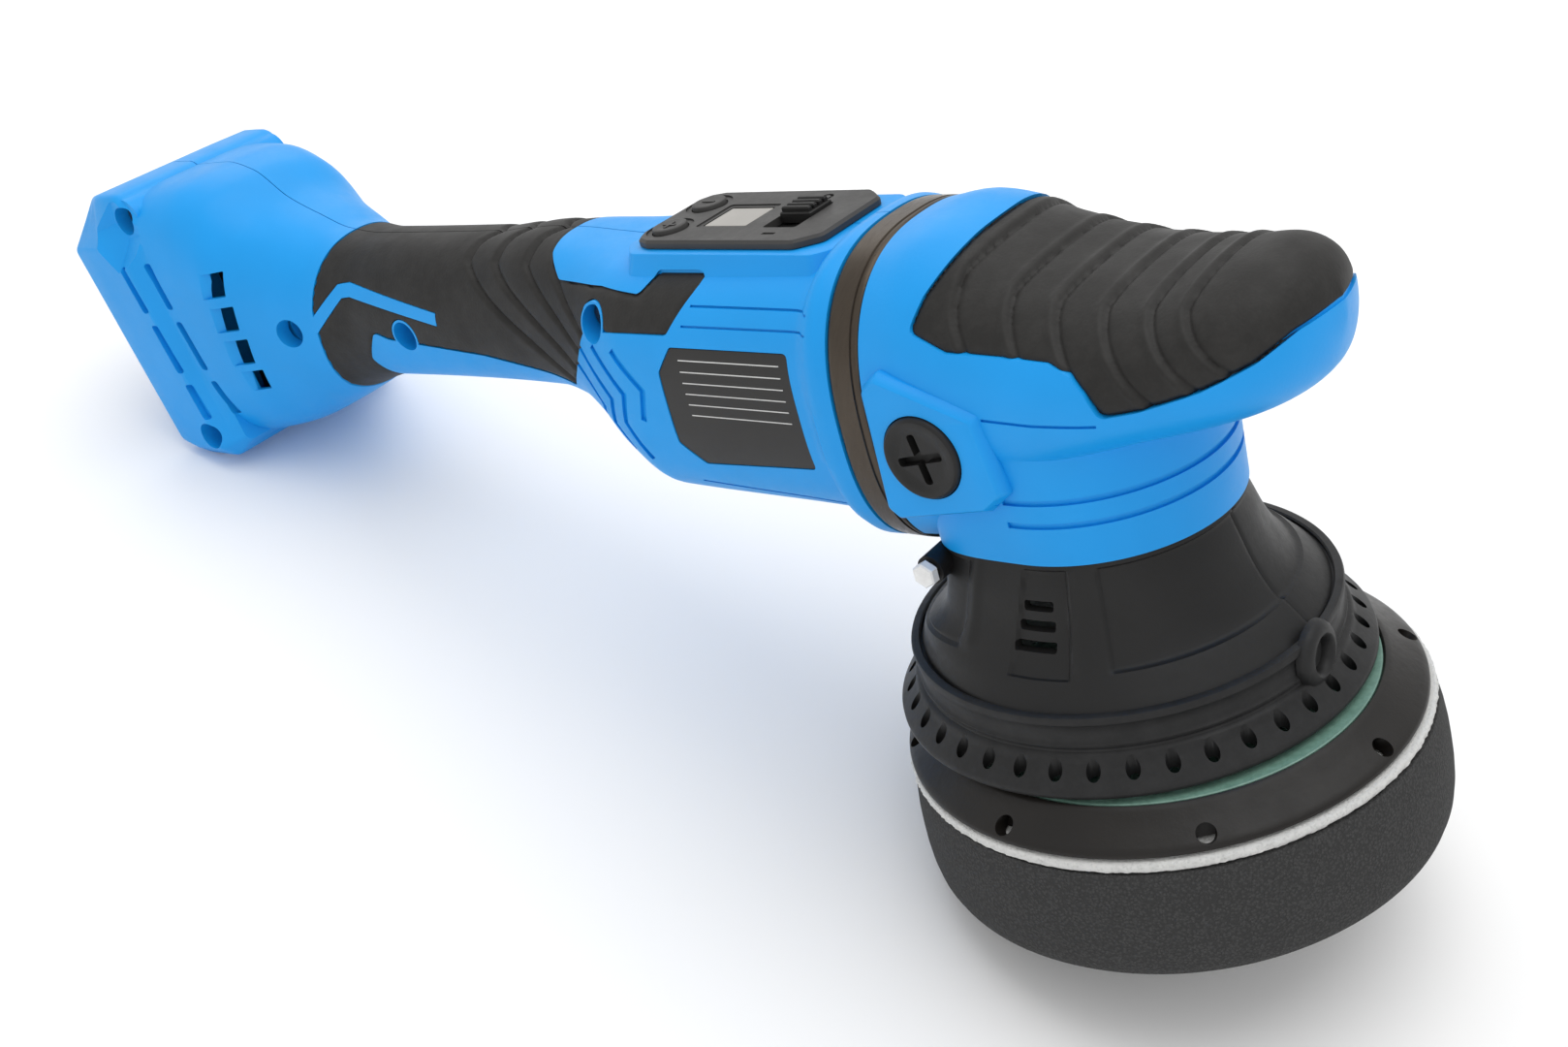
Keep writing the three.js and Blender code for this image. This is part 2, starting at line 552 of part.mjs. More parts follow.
// Face gear pair: the pinion's teeth run in the teeth on top of the crown gear, three turns to one.
const GEAR = { module: 1.5, face: 8, inner: 14, tip: 1.05, root: 1.5 };
const PINION_RADIUS = (PINION_TEETH * GEAR.module) / 2;
const MESH_Z = MOTOR_Z - PINION_RADIUS; // height of the pitch line
// One pinion tooth: share of the pitch, height over the pitch circle.
const TOOTH_FLANK = [[-0.27, -GEAR.root], [-0.1, GEAR.tip], [0.1, GEAR.tip], [0.27, -GEAR.root]];

function pinionSolid() {
  const outline = [];
  const pitch = (2 * Math.PI) / PINION_TEETH;
  for (let i = 0; i < PINION_TEETH; i++) {
    for (const [share, radius] of TOOTH_FLANK) {
      const angle = -Math.PI / 2 + (i + share) * pitch;
      const r = PINION_RADIUS + radius;
      outline.push(new THREE.Vector2(r * Math.cos(angle), r * Math.sin(angle)));
    }
  }
  const shape = new THREE.Shape(outline);
  const geometry = new THREE.ExtrudeGeometry(shape, { depth: GEAR.face, bevelEnabled: false });
  geometry.rotateX(Math.PI / 2).rotateZ(Math.PI / 2).translate(-GEAR.inner - GEAR.face, 0, MOTOR_Z);
  return cut(solidOf(geometry), barX(4.3, -40, 0));
}
node("pinion", pinionSolid(), STEEL);

function crownGear() {
  const rootZ = MESH_Z - GEAR.root;
  const blank = turned([[6.3, rootZ - 6], [GEAR.inner + GEAR.face + 1, rootZ - 6],
    [GEAR.inner + GEAR.face + 1, rootZ], [GEAR.inner - 3, rootZ], [11, rootZ + 4], [6.3, rootZ + 4]], 36);
  const teeth = Array.from({ length: CROWN_TEETH }, (_, i) => {
    const root = 0.72;
    const tip = 0.4;
    const profile = new THREE.Shape([
      new THREE.Vector2(-root, rootZ - 0.5), new THREE.Vector2(root, rootZ - 0.5),
      new THREE.Vector2(tip, MESH_Z + GEAR.tip), new THREE.Vector2(-tip, MESH_Z + GEAR.tip)]);
    const tooth = new THREE.ExtrudeGeometry(profile, { depth: GEAR.face, bevelEnabled: false });
    tooth.rotateX(Math.PI / 2).rotateZ(Math.PI / 2).translate(GEAR.inner, 0, 0);
    return solidOf(tooth.rotateZ(((i + 0.5) * 2 * Math.PI) / CROWN_TEETH));
  });
  return join(blank, ...teeth);
}
node("crown_gear", crownGear(), STEEL);

// Gear case: holds the front motor bearing and both spindle bearings.
const SPINDLE = { radius: 6, top: 142, eccentricTop: 84 };
function gearCase() {
  const body = join(barZ(27, 97, 136, [0, 0], 20), barX(19, -44.5, -18), barZ(20, 88, 98, [0, 0], 20),
    barZ(17, 135, 143, [0, 0], 20));
  return cut(body, barZ(24, 101, 133, [0, 0], 20), barZ(11, 132, 144, [0, 0], 20),
    barZ(16.3, 87, 97.5, [0, 0], 20), barZ(8, 97, 102, [0, 0], 20), barX(16, -50, -30), barX(10, -31, -15));
}
node("gear_case", gearCase(), ALUMINIUM);
const bearing = (radius, z0, z1) => cut(barZ(radius, z0, z1, [0, 0], 20), barZ(6.3, 80, 150, [0, 0], 20));
node("spindle_bearing_upper", bearing(10.7, 134, 141), STEEL);
node("spindle_bearing_lower", bearing(16, 88.5, 97), STEEL);
node("spindle_shaft", barZ(SPINDLE.radius, SPINDLE.eccentricTop + GAP, SPINDLE.top, [0, 0], 20), STEEL);

// Orbit head: eccentric with its counterweight opposite the pad, and the pad group on its own axis.
const OFFSET = [ECCENTRICITY * Math.cos(ORBIT_ANGLE), ECCENTRICITY * Math.sin(ORBIT_ANGLE)];
function eccentric() {
  const sweep = Array.from({ length: 11 }, (_, i) => ORBIT_ANGLE + Math.PI / 2 + (Math.PI * i) / 10);
  const lobe = (radius, z0, z1) =>
    slabZ(sweep.map((a) => [radius * Math.cos(a), radius * Math.sin(a)]), z0, z1);
  const body = join(barZ(18, 62, SPINDLE.eccentricTop, OFFSET, 28), lobe(33, 60.5, 69.5),
    lobe(26.5, 69, 81));
  return cut(body, barZ(13.3, 59, 78, OFFSET, 24), barZ(8, 60, 82.2, OFFSET, 20));
}
node("eccentric", eccentric(), STEEL);
node("pad_bearing", cut(barZ(13, 65, 77, OFFSET, 24), barZ(7.3, 60, 80, OFFSET, 20)), STEEL);

const HUB_Z = FOAM_THICKNESS + GAP + LOOP_THICKNESS + GAP + PLATE_THICKNESS + GAP;
const HUB_TOP = HUB_Z + HUB_THICKNESS;
node(
  "pad_shaft",
  cut(join(barZ(7, HUB_TOP + GAP, 80, OFFSET, 20), barZ(15, HUB_TOP + GAP, HUB_TOP + 4, OFFSET, 24)),
    barZ(4.3, 30, 70, OFFSET, 16)),
  STEEL,
);

// Pad stack: foam, loop layer, backing plate with rim ports, laminate hub disc, bolt.
const PLATE_Z = FOAM_THICKNESS + LOOP_THICKNESS + 2 * GAP;
node(
  "foam_pad",
  turned([[0, 0], [60, 0], [63.2, 1.5], [64.9, 4.6], [65.3, 12], [65, 20], [63.5, FOAM_THICKNESS],
    [0, FOAM_THICKNESS]], 48, OFFSET),
  FOAM,
);
node(
  "loop_layer",
  turned([[0, FOAM_THICKNESS + GAP], [63.4, FOAM_THICKNESS + GAP], [63.4, PLATE_Z - GAP],
    [0, PLATE_Z - GAP]], 48, OFFSET),
  WHITE_LOOP,
);

function backingPlate() {
  const top = PLATE_Z + PLATE_THICKNESS;
  const plate = turned([[11, PLATE_Z], [PLATE_RADIUS, PLATE_Z], [PLATE_RADIUS, PLATE_Z + 0.8], [53, top],
    [11, top]], 48, OFFSET);
  const ports = Array.from({ length: PLATE_PORTS }, (_, i) => {
    const port = new THREE.CylinderGeometry(2.4, 2.4, 12, 8).rotateZ(-Math.PI / 3);
    port.translate(60, 0, 0).rotateZ(THREE.MathUtils.degToRad(-6.8 + (360 / PLATE_PORTS) * i));
    return solidOf(port.translate(...OFFSET, PLATE_Z + 3.6));
  });
  return cut(plate, ...ports);
}
node("backing_plate", backingPlate(), BLACK);
node(
  "hub_disc",
  cut(barZ(50.5, HUB_Z, HUB_TOP, OFFSET, 48), barZ(4.3, 30, 50, OFFSET, 16)),
  GREEN_LAMINATE,
);
node(
  "pad_bolt",
  join(barZ(10, PLATE_Z + GAP, HUB_Z - GAP, OFFSET, 6), barZ(4, HUB_Z - 1, 62, OFFSET, 16)),
  STEEL,
);

// Bell housing around the orbit head, with its two rear bolts and vents.
const BELL_BOLT = { x: -25.5, z: 84, face: 36.2, radius: 3.2 };
function bellHousing() {
  const spigot = turned([[43.6, 51], [46.6, 51], [46.6, BELL_Z + 1], [43.6, BELL_Z + 1]], 36);
  const outer = join(loft(BELL_SECTIONS.map((s) => ringAcrossZ(s))), spigot);
  const hollow = loft([[BELL_Z - 1, -45.2, 45.2, 45.2], ...BELL_SECTIONS.slice(1, 5),
    [84.5, -31, 34.6, 34.6]].map((s) => ringAcrossZ(s, s[0] < BELL_Z ? 1.6 : WALL + 0.6)));
  const ears = [-1, 1].map((side) =>
    barY(3.6, side < 0 ? -36 : 24, side < 0 ? -24 : 36, [BELL_BOLT.x, BELL_BOLT.z], 10));
  const holes = [-1, 1].map((side) =>
    barY(2, side < 0 ? -40 : 24, side < 0 ? -24 : 40, [BELL_BOLT.x, BELL_BOLT.z], 8));
  const vents = [0, 1, 2].flatMap((i) => [-60, 30].map((y) =>
    box([-0.8 - i, y, 77.3 - i * 4.3], [6.4 + 0.5 * i, y + 30, 79.6 - i * 4.3])));
  return cut(join(cut(outer, hollow), ...ears), barZ(20.4, 80, 99, [0, 0], 28), ...holes, ...vents);
}
node("bell_housing", bellHousing(), BLACK);
for (const side of ["right", "left"]) {
  const sign = side === "right" ? -1 : 1;
  const span = (near, far) => [Math.min(sign * near, sign * far), Math.max(sign * near, sign * far)];
  const at = [BELL_BOLT.x, BELL_BOLT.z];
  const head = barY(BELL_BOLT.radius, ...span(BELL_BOLT.face + 0.1, BELL_BOLT.face + 2.4), at, 6);
  const shank = barY(1.7, ...span(BELL_BOLT.face - 9, BELL_BOLT.face + 0.5), at, 8);
  node(`bell_bolt_${side}`, join(head, shank), STEEL);
}

// Dust skirt: band round the bell, perforated flange and the moulded lug at the front.
function dustSkirt() {
  const skirt = turned([[47, 49], [50.8, 46.2], [58, 42], [58.3, 43.7], [52.4, 49], [51.5, 51],
    [51.5, 59.8], [49.1, 59.8], [49.1, 58.6], [47, 58.6]], 36);
  const holes = Array.from({ length: SKIRT_HOLES }, (_, i) => {
    const hole = new THREE.CylinderGeometry(1.9, 1.9, 10, 5).rotateX(Math.PI / 2).translate(54.6, 0, 45);
    return solidOf(hole.rotateZ((2 * Math.PI * (i + 0.5)) / SKIRT_HOLES));
  });
  const lug = barX(6.6, 49.6, 55, [-3.7, 54.2], 16);
  return cut(join(skirt, lug), barX(3.6, 52.5, 60, [-3.7, 54.2], 12), ...holes);
}
node("dust_skirt", dustSkirt(), RUBBER_BLACK);

// Tip the tool onto the pad's rear edge and the foot's lower edge, and stand it on z = 0.
function lowest(names, tilt) {
  let low = Infinity;
  for (const name of names) {
    const position = tool.getObjectByName(name).geometry.getAttribute("position");
    for (let i = 0; i < position.count; i++) {
      low = Math.min(low, position.getX(i) * Math.sin(tilt) + position.getZ(i) * Math.cos(tilt));
    }
  }
  return low;
}

function restTilt() {
  let [low, high] = [0, 0.8];
  for (let i = 0; i < 40; i++) {
    const tilt = (low + high) / 2;
    if (lowest(["foam_pad"], tilt) < lowest(["housing_right"], tilt)) low = tilt;
    else high = tilt;
  }
  return low;
}
const tilt = restTilt();
tool.rotation.y = -tilt;
polisher.updateMatrixWorld(true);
const bounds = new THREE.Box3().setFromObject(tool, true);
const middle = bounds.getCenter(new THREE.Vector3());
tool.position.set(-middle.x, -middle.y, -bounds.min.z);

export default polisher;
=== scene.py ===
"""Cordless dual action polisher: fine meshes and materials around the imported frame.

Shapes are worked out in the tool's own frame, in millimetres: the spindle axis is Z, the working face of
the pad is z = 0, the nose points along +X and the rating plate faces -Y. TOOL puts that frame in the row.
"""

import json
import math

import bmesh
import bpy
import numpy as np
from mathutils import Matrix, Vector


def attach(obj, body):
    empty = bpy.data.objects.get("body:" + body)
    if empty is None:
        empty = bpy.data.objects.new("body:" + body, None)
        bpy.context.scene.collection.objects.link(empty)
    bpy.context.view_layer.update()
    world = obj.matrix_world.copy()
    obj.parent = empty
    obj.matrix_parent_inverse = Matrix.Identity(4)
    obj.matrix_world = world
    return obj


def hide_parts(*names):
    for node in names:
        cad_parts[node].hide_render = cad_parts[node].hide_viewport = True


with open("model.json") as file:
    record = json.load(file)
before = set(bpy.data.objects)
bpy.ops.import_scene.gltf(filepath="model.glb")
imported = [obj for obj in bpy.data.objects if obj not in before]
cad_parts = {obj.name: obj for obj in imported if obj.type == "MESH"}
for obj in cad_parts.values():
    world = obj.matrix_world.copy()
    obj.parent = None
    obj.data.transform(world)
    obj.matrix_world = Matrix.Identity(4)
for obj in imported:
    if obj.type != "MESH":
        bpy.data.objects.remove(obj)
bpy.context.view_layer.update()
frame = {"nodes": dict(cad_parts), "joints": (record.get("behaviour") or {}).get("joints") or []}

MM = 0.001
scene = bpy.context.scene
joints = {joint["name"]: joint for joint in frame["joints"]}
UP = Vector(joints["spindle_spin"]["axis"])
AHEAD = Vector(joints["motor_spin"]["axis"])
SPINDLE_PIVOT_Z = 90  # height of the spindle joint's point above the pad face
ORIGIN = Vector(joints["spindle_spin"]["pos_m"]) - UP * SPINDLE_PIVOT_Z * MM
TOOL = Matrix((
    (AHEAD.x, 0, UP.x, ORIGIN.x),
    (AHEAD.y, 1, UP.y, ORIGIN.y),
    (AHEAD.z, 0, UP.z, ORIGIN.z),
    (0, 0, 0, 1),
)) @ Matrix.Scale(MM, 4)
TOOL.col[3][3] = 1
PAD_AXIS = TOOL.inverted() @ Vector(joints["pad_spin"]["pos_m"])
PAD_X, PAD_Y = PAD_AXIS.x, PAD_AXIS.y

# ---- driving dimensions
GAP = 0.3
WALL = 2.6
RUBBER = 1.8
PALM_RUBBER = 2.2
LEAN = math.radians(13)
FOOT_X, FOOT_Z = -341, 134
SIDES = 192
RING = dict(rear=-41.5, front=-32.5)
RING_SECTION = (36, 79, 118, 157.8, 2.45, 2.5)
# Sections across X: x, half width, bottom, widest height, top, squareness below and above.
BARREL = [
    (-320, 35.4, 90.4, 134, 177, 4.8, 4.6), (-303, 34.6, 90.8, 134, 177.4, 3.8, 3.8),
    (-290, 33.4, 92, 134, 174.4, 3.1, 3.2),
    (-277, 29.4, 96, 132, 165.2, 2.7, 2.7), (-264, 25.6, 101, 131, 159.5, 2.5, 2.5),
    (-251, 22, 106, 131, 154.8, 2.3, 2.3), (-236, 20.2, 109, 131, 153.2, 2.3, 2.3),
    (-185, 20, 110, 131, 153.6, 2.3, 2.3), (-160, 20.8, 110, 132, 155, 2.4, 2.4),
    (-145, 23, 107.5, 131, 154.6, 2.5, 2.5), (-133, 27, 101, 129, 153.6, 2.6, 2.6),
    (-122, 31.5, 92.5, 126, 152.8, 2.8, 2.75), (-110, 34.2, 88, 123, 152.6, 3, 2.8),
    (-52.5, 34.6, 87, 122, 153.2, 3, 2.8), (-50, 34.8, 86.4, 121.6, 153.6, 2.9, 2.8),
    (-48.7, 36.3, 81.6, 119.2, 155.6, 2.5, 2.8), (-45.5, 36.6, 79, 118, 157.6, 2.45, 2.8),
    (RING["rear"] - GAP, *RING_SECTION),
]
HEAD = [
    (RING["front"] + GAP, *RING_SECTION), (-22, 36.5, 82, 121, 159.4, 2.6, 2.4),
    (-12, 36.5, 92, 123, 158, 2.7, 2.25), (-3, 36.5, 100, 124, 154.6, 2.8, 2.15),
    (8, 36.5, 106, 124.5, 151.2, 2.8, 2.15), (20, 36, 111, 125, 149, 2.7, 2.1),
    (32, 34, 114, 127, 148.4, 2.6, 2.1), (44, 30.5, 116, 129.5, 149.4, 2.5, 2.05),
    (53, 26, 118, 131.5, 150.4, 2.4, 2.05), (60, 19, 121, 134, 148.8, 2.3, 2.1),
    (64, 11.5, 125, 136, 145.4, 2.2, 2.1), (66.8, 0.5, 135, 137, 139.5, 2, 2),
]
# Level sections: z, rear x, front radius, half width. The front is round, the rear nearly square.
COLLAR_Z = 88
COLLAR = [(COLLAR_Z, -31, 34.2, 34), (104, -31.5, 34.4, 34.6), (124, -31, 35, 35.4)]
BELL = [
    (59, -48.7, 48.7, 48.7), (63, -44.6, 45.2, 45.2), (68, -38.5, 41, 41), (74, -31.8, 38, 38),
    (82, -31, 35.4, 35.4), (COLLAR_Z - GAP, -30.6, 33.6, 33.4),
]
# Outlines seen from the side, as x, z.
GRIP_OUTLINE = [
    (-246, 164), (-250.5, 146), (-253, 137), (-254.5, 125), (-257.5, 109), (-256, 98),
    (-233, 98), (-237, 120), (-229, 129.5), (-223, 127.5), (-182, 123.7), (-164, 120.5), (-146, 117),
    (-138, 124), (-128, 135), (-125, 138), (-113, 139), (-93, 139), (-83.5, 151.5), (-101, 151.3),
    (-105, 147), (-120, 148), (-140, 147.7), (-147.5, 152.5), (-149.5, 156), (-149.5, 164),
]
PALM_OUTLINE = [
    (-3, 175), (-5, 161), (-10.5, 157), (-15.5, 149), (-18, 142.5), (-8.5, 138.6), (5, 137.8),
    (16, 136.8), (21.5, 134.8), (25, 131.4), (28, 126.2), (36, 127.4), (48, 130.4), (57.5, 134),
    (63, 137.5), (80, 141.6), (80, 175),
]
LABEL_OUTLINE = [(-92, 136.5), (-54, 136.5), (-54, 106.5), (-91, 104.5), (-97.5, 110.5), (-97, 130)]
BOSS_OUTLINE = [(-31, 131), (-26, 135), (-1, 126), (2.5, 107), (-3, 102.5), (-28, 98), (-31.5, 101)]
BOSS_FACE = 38.6
CHEVRON = [(-258, 129), (-240.6, 142), (-236, 142.4), (-197.5, 134.6)]
CHEVRON_WIDTH = 3.9
FOOT_FRONT = dict(x=-308, z=93, lean=0.165)
PANEL = dict(rear=-113, front=-53, half=16.6, base=155.3, top=157.3)
SCREWS = [(-264, 130.5, 24), (-214.5, 128.8, 19.6), (-121, 140, 30), (-321, 170, 33), (-312, 98, 35)]
SCREW_BORE, SCREW_PILOT, SCREW_BOSS = 4.6, 1.9, 6.6
SCREW_SEAT = 8
BARREL_AXIS = (0, 122)
PLUG = dict(x=-17, z=115.6, radius=10)
PANEL_SEAT = ((-134, -19.5, 140), (-50, 19.5, 170))  # corners of the room kept clear round the panel
# Spans of cutters along Y: right across the tool, and on the rating plate's side only.
ACROSS = (-60, 60)
NEAR = (-60, -20)


# ---- curves and sections
def curved(rows, places):
    """Rows of a section table at new places along its first column, on monotone cubic curves."""
    rows = np.array(rows, float)
    at = rows[:, 0]
    step = np.diff(at)
    slope = np.diff(rows, axis=0) / step[:, None]
    both = slope[:-1] * slope[1:]
    total = slope[:-1] + slope[1:]
    tangent = np.zeros_like(rows)
    tangent[1:-1] = np.where(both > 0, 2 * both / np.where(both > 0, total, 1), 0)
    tangent[0], tangent[-1] = slope[0], slope[-1]
    places = np.asarray(places, float)
    i = np.clip(np.searchsorted(at, places, side="right") - 1, 0, len(at) - 2)
    t = ((places - at[i]) / step[i])[:, None]
    h = step[i][:, None]
    return ((1 + 2 * t) * (1 - t) ** 2 * rows[i] + t * (1 - t) ** 2 * h * tangent[i]
            + t * t * (3 - 2 * t) * rows[i + 1] - t * t * (1 - t) * h * tangent[i + 1])


def whole_turn(sides):
    return np.linspace(0, 2 * math.pi, sides, endpoint=False)


def quarter(a, b, squareness, count):
    """Evenly spaced points of a quarter superellipse, from (a, 0) towards (0, b)."""
    angle = np.linspace(0, math.pi / 2, 160)
    x = a * np.cos(angle).clip(0) ** (2 / squareness)
    y = b * np.sin(angle).clip(0) ** (2 / squareness)
    along = np.concatenate([[0], np.cumsum(np.hypot(np.diff(x), np.diff(y)))])
    want = np.linspace(0, along[-1], count + 1)[:-1]
    return np.interp(want, along, x), np.interp(want, along, y)


def oval(right, left, top, bottom, upper, lower, sides=SIDES):
    """A closed ring from four quarters: upper and lower are (right, left) pairs of squareness."""
    n = sides // 4
    x1, y1 = quarter(right, top, upper[0], n)
    y2, x2 = quarter(top, left, upper[1], n)
    x3, y3 = quarter(left, bottom, lower[1], n)
    y4, x4 = quarter(bottom, right, lower[0], n)
    return np.concatenate([x1, -x2, -x3, x4]), np.concatenate([y1, y2, -y3, -y4])


def across_x(section, inset=0.0, sides=SIDES):
    x, half, bottom, middle, top, below, above = section
    up, down = max(top - middle - inset, 0.05), max(middle - bottom - inset, 0.05)
    side = max(half - inset, 0.05)
    y, z = oval(side, side, up, down, (above, above), (below, below), sides)
    return np.stack([np.full(len(y), float(x)), y, middle + z], 1)


def across_z(section, inset=0.0, sides=SIDES):
    z, rear, front, half = section
    square = 2 + 2 * min(1.0, max(0.0, (rear + front) / 3))
    side = half - inset
    x, y = oval(front - inset, -rear - inset, side, side, (2, square), (2, square), sides)
    return np.stack([x, y, np.full(len(x), z)], 1)


def steps(low, high, pitch):
    return np.linspace(low, high, max(2, int(round((high - low) / pitch)) + 1))


def barrel_rings(inset=0.0, low=-320, high=RING["rear"] - GAP, pitch=2.0):
    return [across_x(s, inset) for s in curved(BARREL, steps(low, high, pitch))]


def head_rings(inset=0.0, pitch=1.6, sides=SIDES):
    """Stations crowd towards the nose, where the section closes."""
    low, high = HEAD[0][0], HEAD[-1][0]
    count = int((high - low) / pitch)
    t = np.linspace(0, 1, count)
    places = low + (high - low) * (1 - (1 - t) ** 1.6)
    rows = np.array(HEAD, float)
    nose = rows.copy()
    nose[:, 0] = -np.sqrt(high + 0.6 - rows[:, 0])
    return [across_x((x, *s[1:]), inset, sides)
            for x, s in zip(places, curved(nose, -np.sqrt(high + 0.6 - places)))]


def collar_rings(inset=0.0):
    return [across_z(s, inset) for s in curved(COLLAR, steps(COLLAR_Z, 124, 1.5))]


# ---- meshes, in millimetres until placed
def placed(name, data):
    obj = bpy.data.objects.new(name, data)
    scene.collection.objects.link(obj)
    return obj


def raw(name, points, faces):
    mesh = bpy.data.meshes.new(name)
    mesh.from_pydata([tuple(p) for p in points], [], [tuple(f) for f in faces])
    bm = bmesh.new()
    bm.from_mesh(mesh)
    bmesh.ops.recalc_face_normals(bm, faces=bm.faces)
    if bm.calc_volume(signed=True) < 0:
        bmesh.ops.reverse_faces(bm, faces=bm.faces)
    bm.to_mesh(mesh)
    bm.free()
    return placed(name, mesh)


def loft(rings):
    """A closed skin over rings of equal count, with flat ends."""
    n = len(rings[0])
    points = np.concatenate(rings)
    faces = [(k * n + i, k * n + (i + 1) % n, (k + 1) * n + (i + 1) % n, (k + 1) * n + i)
             for k in range(len(rings) - 1) for i in range(n)]
    last = (len(rings) - 1) * n
    faces += [tuple(range(n - 1, -1, -1)), tuple(range(last, last + n))]
    return raw("loft", points, faces)


def turned(profile, sides=160, at=(0, 0)):
    """A profile of (radius, z) points turned about Z. Radius 0 at both ends closes it on the axis."""
    angle = whole_turn(sides)
    open_ends = profile[0][0] == 0 and profile[-1][0] == 0
    body = profile[1:-1] if open_ends else profile
    points = [(at[0] + r * math.cos(a), at[1] + r * math.sin(a), z) for r, z in body for a in angle]
    faces = []
    rows = len(body) - 1 if open_ends else len(body)
    for k in range(rows):
        nxt = (k + 1) % len(body)
        faces += [(k * sides + i, k * sides + (i + 1) % sides, nxt * sides + (i + 1) % sides,
                   nxt * sides + i) for i in range(sides)]
    if open_ends:
        for row, z in ((0, profile[0][1]), (len(body) - 1, profile[-1][1])):
            points.append((at[0], at[1], z))
            centre = len(points) - 1
            faces += [(row * sides + i, row * sides + (i + 1) % sides, centre) for i in range(sides)]
    return raw("turned", points, faces)


def rounded(outline, radius, count=5):
    """An outline with its corners filleted."""
    out = []
    n = len(outline)
    for i in range(n):
        p = np.array(outline[i], float)
        a = np.array(outline[i - 1], float) - p
        b = np.array(outline[(i + 1) % n], float) - p
        la, lb = np.linalg.norm(a), np.linalg.norm(b)
        a, b = a / la, b / lb
        half = math.acos(max(-1.0, min(1.0, float(a @ b)))) / 2
        reach = min(radius / max(math.tan(half), 1e-3), 0.45 * la, 0.45 * lb)
        for t in np.linspace(0, 1, count + 1):
            out.append(tuple((1 - t) ** 2 * (p + a * reach) + 2 * t * (1 - t) * p + t * t * (p + b * reach)))
    return out


GRIP_EDGE = rounded(GRIP_OUTLINE, 2.5)
PALM_EDGE = rounded(PALM_OUTLINE, 2)
LABEL_EDGE = rounded(LABEL_OUTLINE, 1.5)


def shrunk(outline, inset):
    """An outline with every side moved inwards."""
    pts = np.array(outline, float)
    area = 0.5 * np.sum(pts[:, 0] * np.roll(pts[:, 1], -1) - np.roll(pts[:, 0], -1) * pts[:, 1])
    out = []
    for i in range(len(pts)):
        e0 = pts[i] - pts[i - 1]
        e1 = pts[(i + 1) % len(pts)] - pts[i]
        n0 = np.array([-e0[1], e0[0]]) / np.hypot(*e0) * np.sign(area)
        n1 = np.array([-e1[1], e1[0]]) / np.hypot(*e1) * np.sign(area)
        out.append(tuple(pts[i] + (n0 + n1) * inset / max(0.3, 1 + float(n0 @ n1))))
    return out


def slab(outline, low, high, axis="y", chamfer=0.0):
    """An outline extruded along Y (points are x, z) or along Z (x, y). chamfer breaks the edge at high."""
    layers = [(outline, low), (outline, high)]
    if chamfer:
        sign = 1 if high > low else -1
        layers = [(outline, low), (outline, high - sign * chamfer), (shrunk(outline, chamfer), high)]
    rings = []
    for ring, at in layers:
        if axis == "y":
            rings.append(np.array([(x, at, z) for x, z in ring], float))
        else:
            rings.append(np.array([(x, y, at) for x, y in ring], float))
    return loft(rings)


def rod(profile, at, axis="y", sides=32, start=0.0):
    """A rod along an axis from (radius, place) pairs; at is where it stands across the other two axes."""
    angle = math.radians(start) + whole_turn(sides)
    rings = []
    for radius, place in profile:
        u, v = at[0] + radius * np.cos(angle), at[1] + radius * np.sin(angle)
        w = np.full(sides, float(place))
        rings.append(np.stack({"x": (w, u, v), "y": (u, w, v), "z": (u, v, w)}[axis], 1))
    return loft(rings)


def bar(radius, low, high, at, axis="y", sides=32):
    return rod([(radius, low), (radius, high)], at, axis, sides)


def rect(x0, x1, y0, y1):
    return [(x0, y0), (x1, y0), (x1, y1), (x0, y1)]


def block(low, high):
    (x0, y0, z0), (x1, y1, z1) = low, high
    return slab(rect(x0, x1, y0, y1), z0, z1, "z")


def merged(objects):
    """Several meshes that don't touch, as one."""
    bm = bmesh.new()
    for obj in objects:
        bm.from_mesh(obj.data)
    mesh = bpy.data.meshes.new("merged")
    bm.to_mesh(mesh)
    bm.free()
    for obj in objects:
        bpy.data.objects.remove(obj)
    return placed("merged", mesh)


def combine(base, operation, others):
    for other in others:
        modifier = base.modifiers.new("solid", "BOOLEAN")
        modifier.solver = "MANIFOLD"
        modifier.operation = operation
        modifier.object = other
        bpy.context.view_layer.update()
        done = base.evaluated_get(bpy.context.evaluated_depsgraph_get())
        mesh = bpy.data.meshes.new_from_object(done)
        base.modifiers.clear()
        old = base.data
        base.data = mesh
        bpy.data.meshes.remove(old)
        if not len(mesh.polygons):
            raise RuntimeError(f"{base.name} {operation} {other.name} left nothing")
        bpy.data.objects.remove(other)
    return base


def cut(base, *others):
    return combine(base, "DIFFERENCE", others)


def join(base, *others):
    return combine(base, "UNION", others)


def common(base, *others):
    return combine(base, "INTERSECT", others)


def copy_of(obj):
    return placed(obj.name, obj.data.copy())


def mirrored(obj):
    """The same piece on the other side of y = 0."""
    twin = copy_of(obj)
    twin.data.transform(Matrix.Scale(-1, 4, (0, 1, 0)))
    twin.data.flip_normals()
    return twin


def halves(whole):
    """The right (rating plate) and left parts of a piece, either side of the parting gap."""
    low, high = (-500, -100, 0), (200, 100, 300)
    other = copy_of(whole)
    right = common(whole, block(low, (high[0], -GAP / 2, high[2])))
    left = common(other, block((low[0], GAP / 2, low[2]), high))
    return right, left


def edge_distance(x, z, outline):
    """Distance of side-view points from an outline's edge."""
    p = np.stack([x, z], 1)
    best = np.full(len(p), 1e9)
    ring = np.array(outline, float)
    for a, b in zip(ring, np.roll(ring, -1, axis=0)):
        d = b - a
        t = np.clip(((p - a) @ d) / (d @ d), 0, 1)
        best = np.minimum(best, np.hypot(*(p - a - t[:, None] * d).T))
    return best


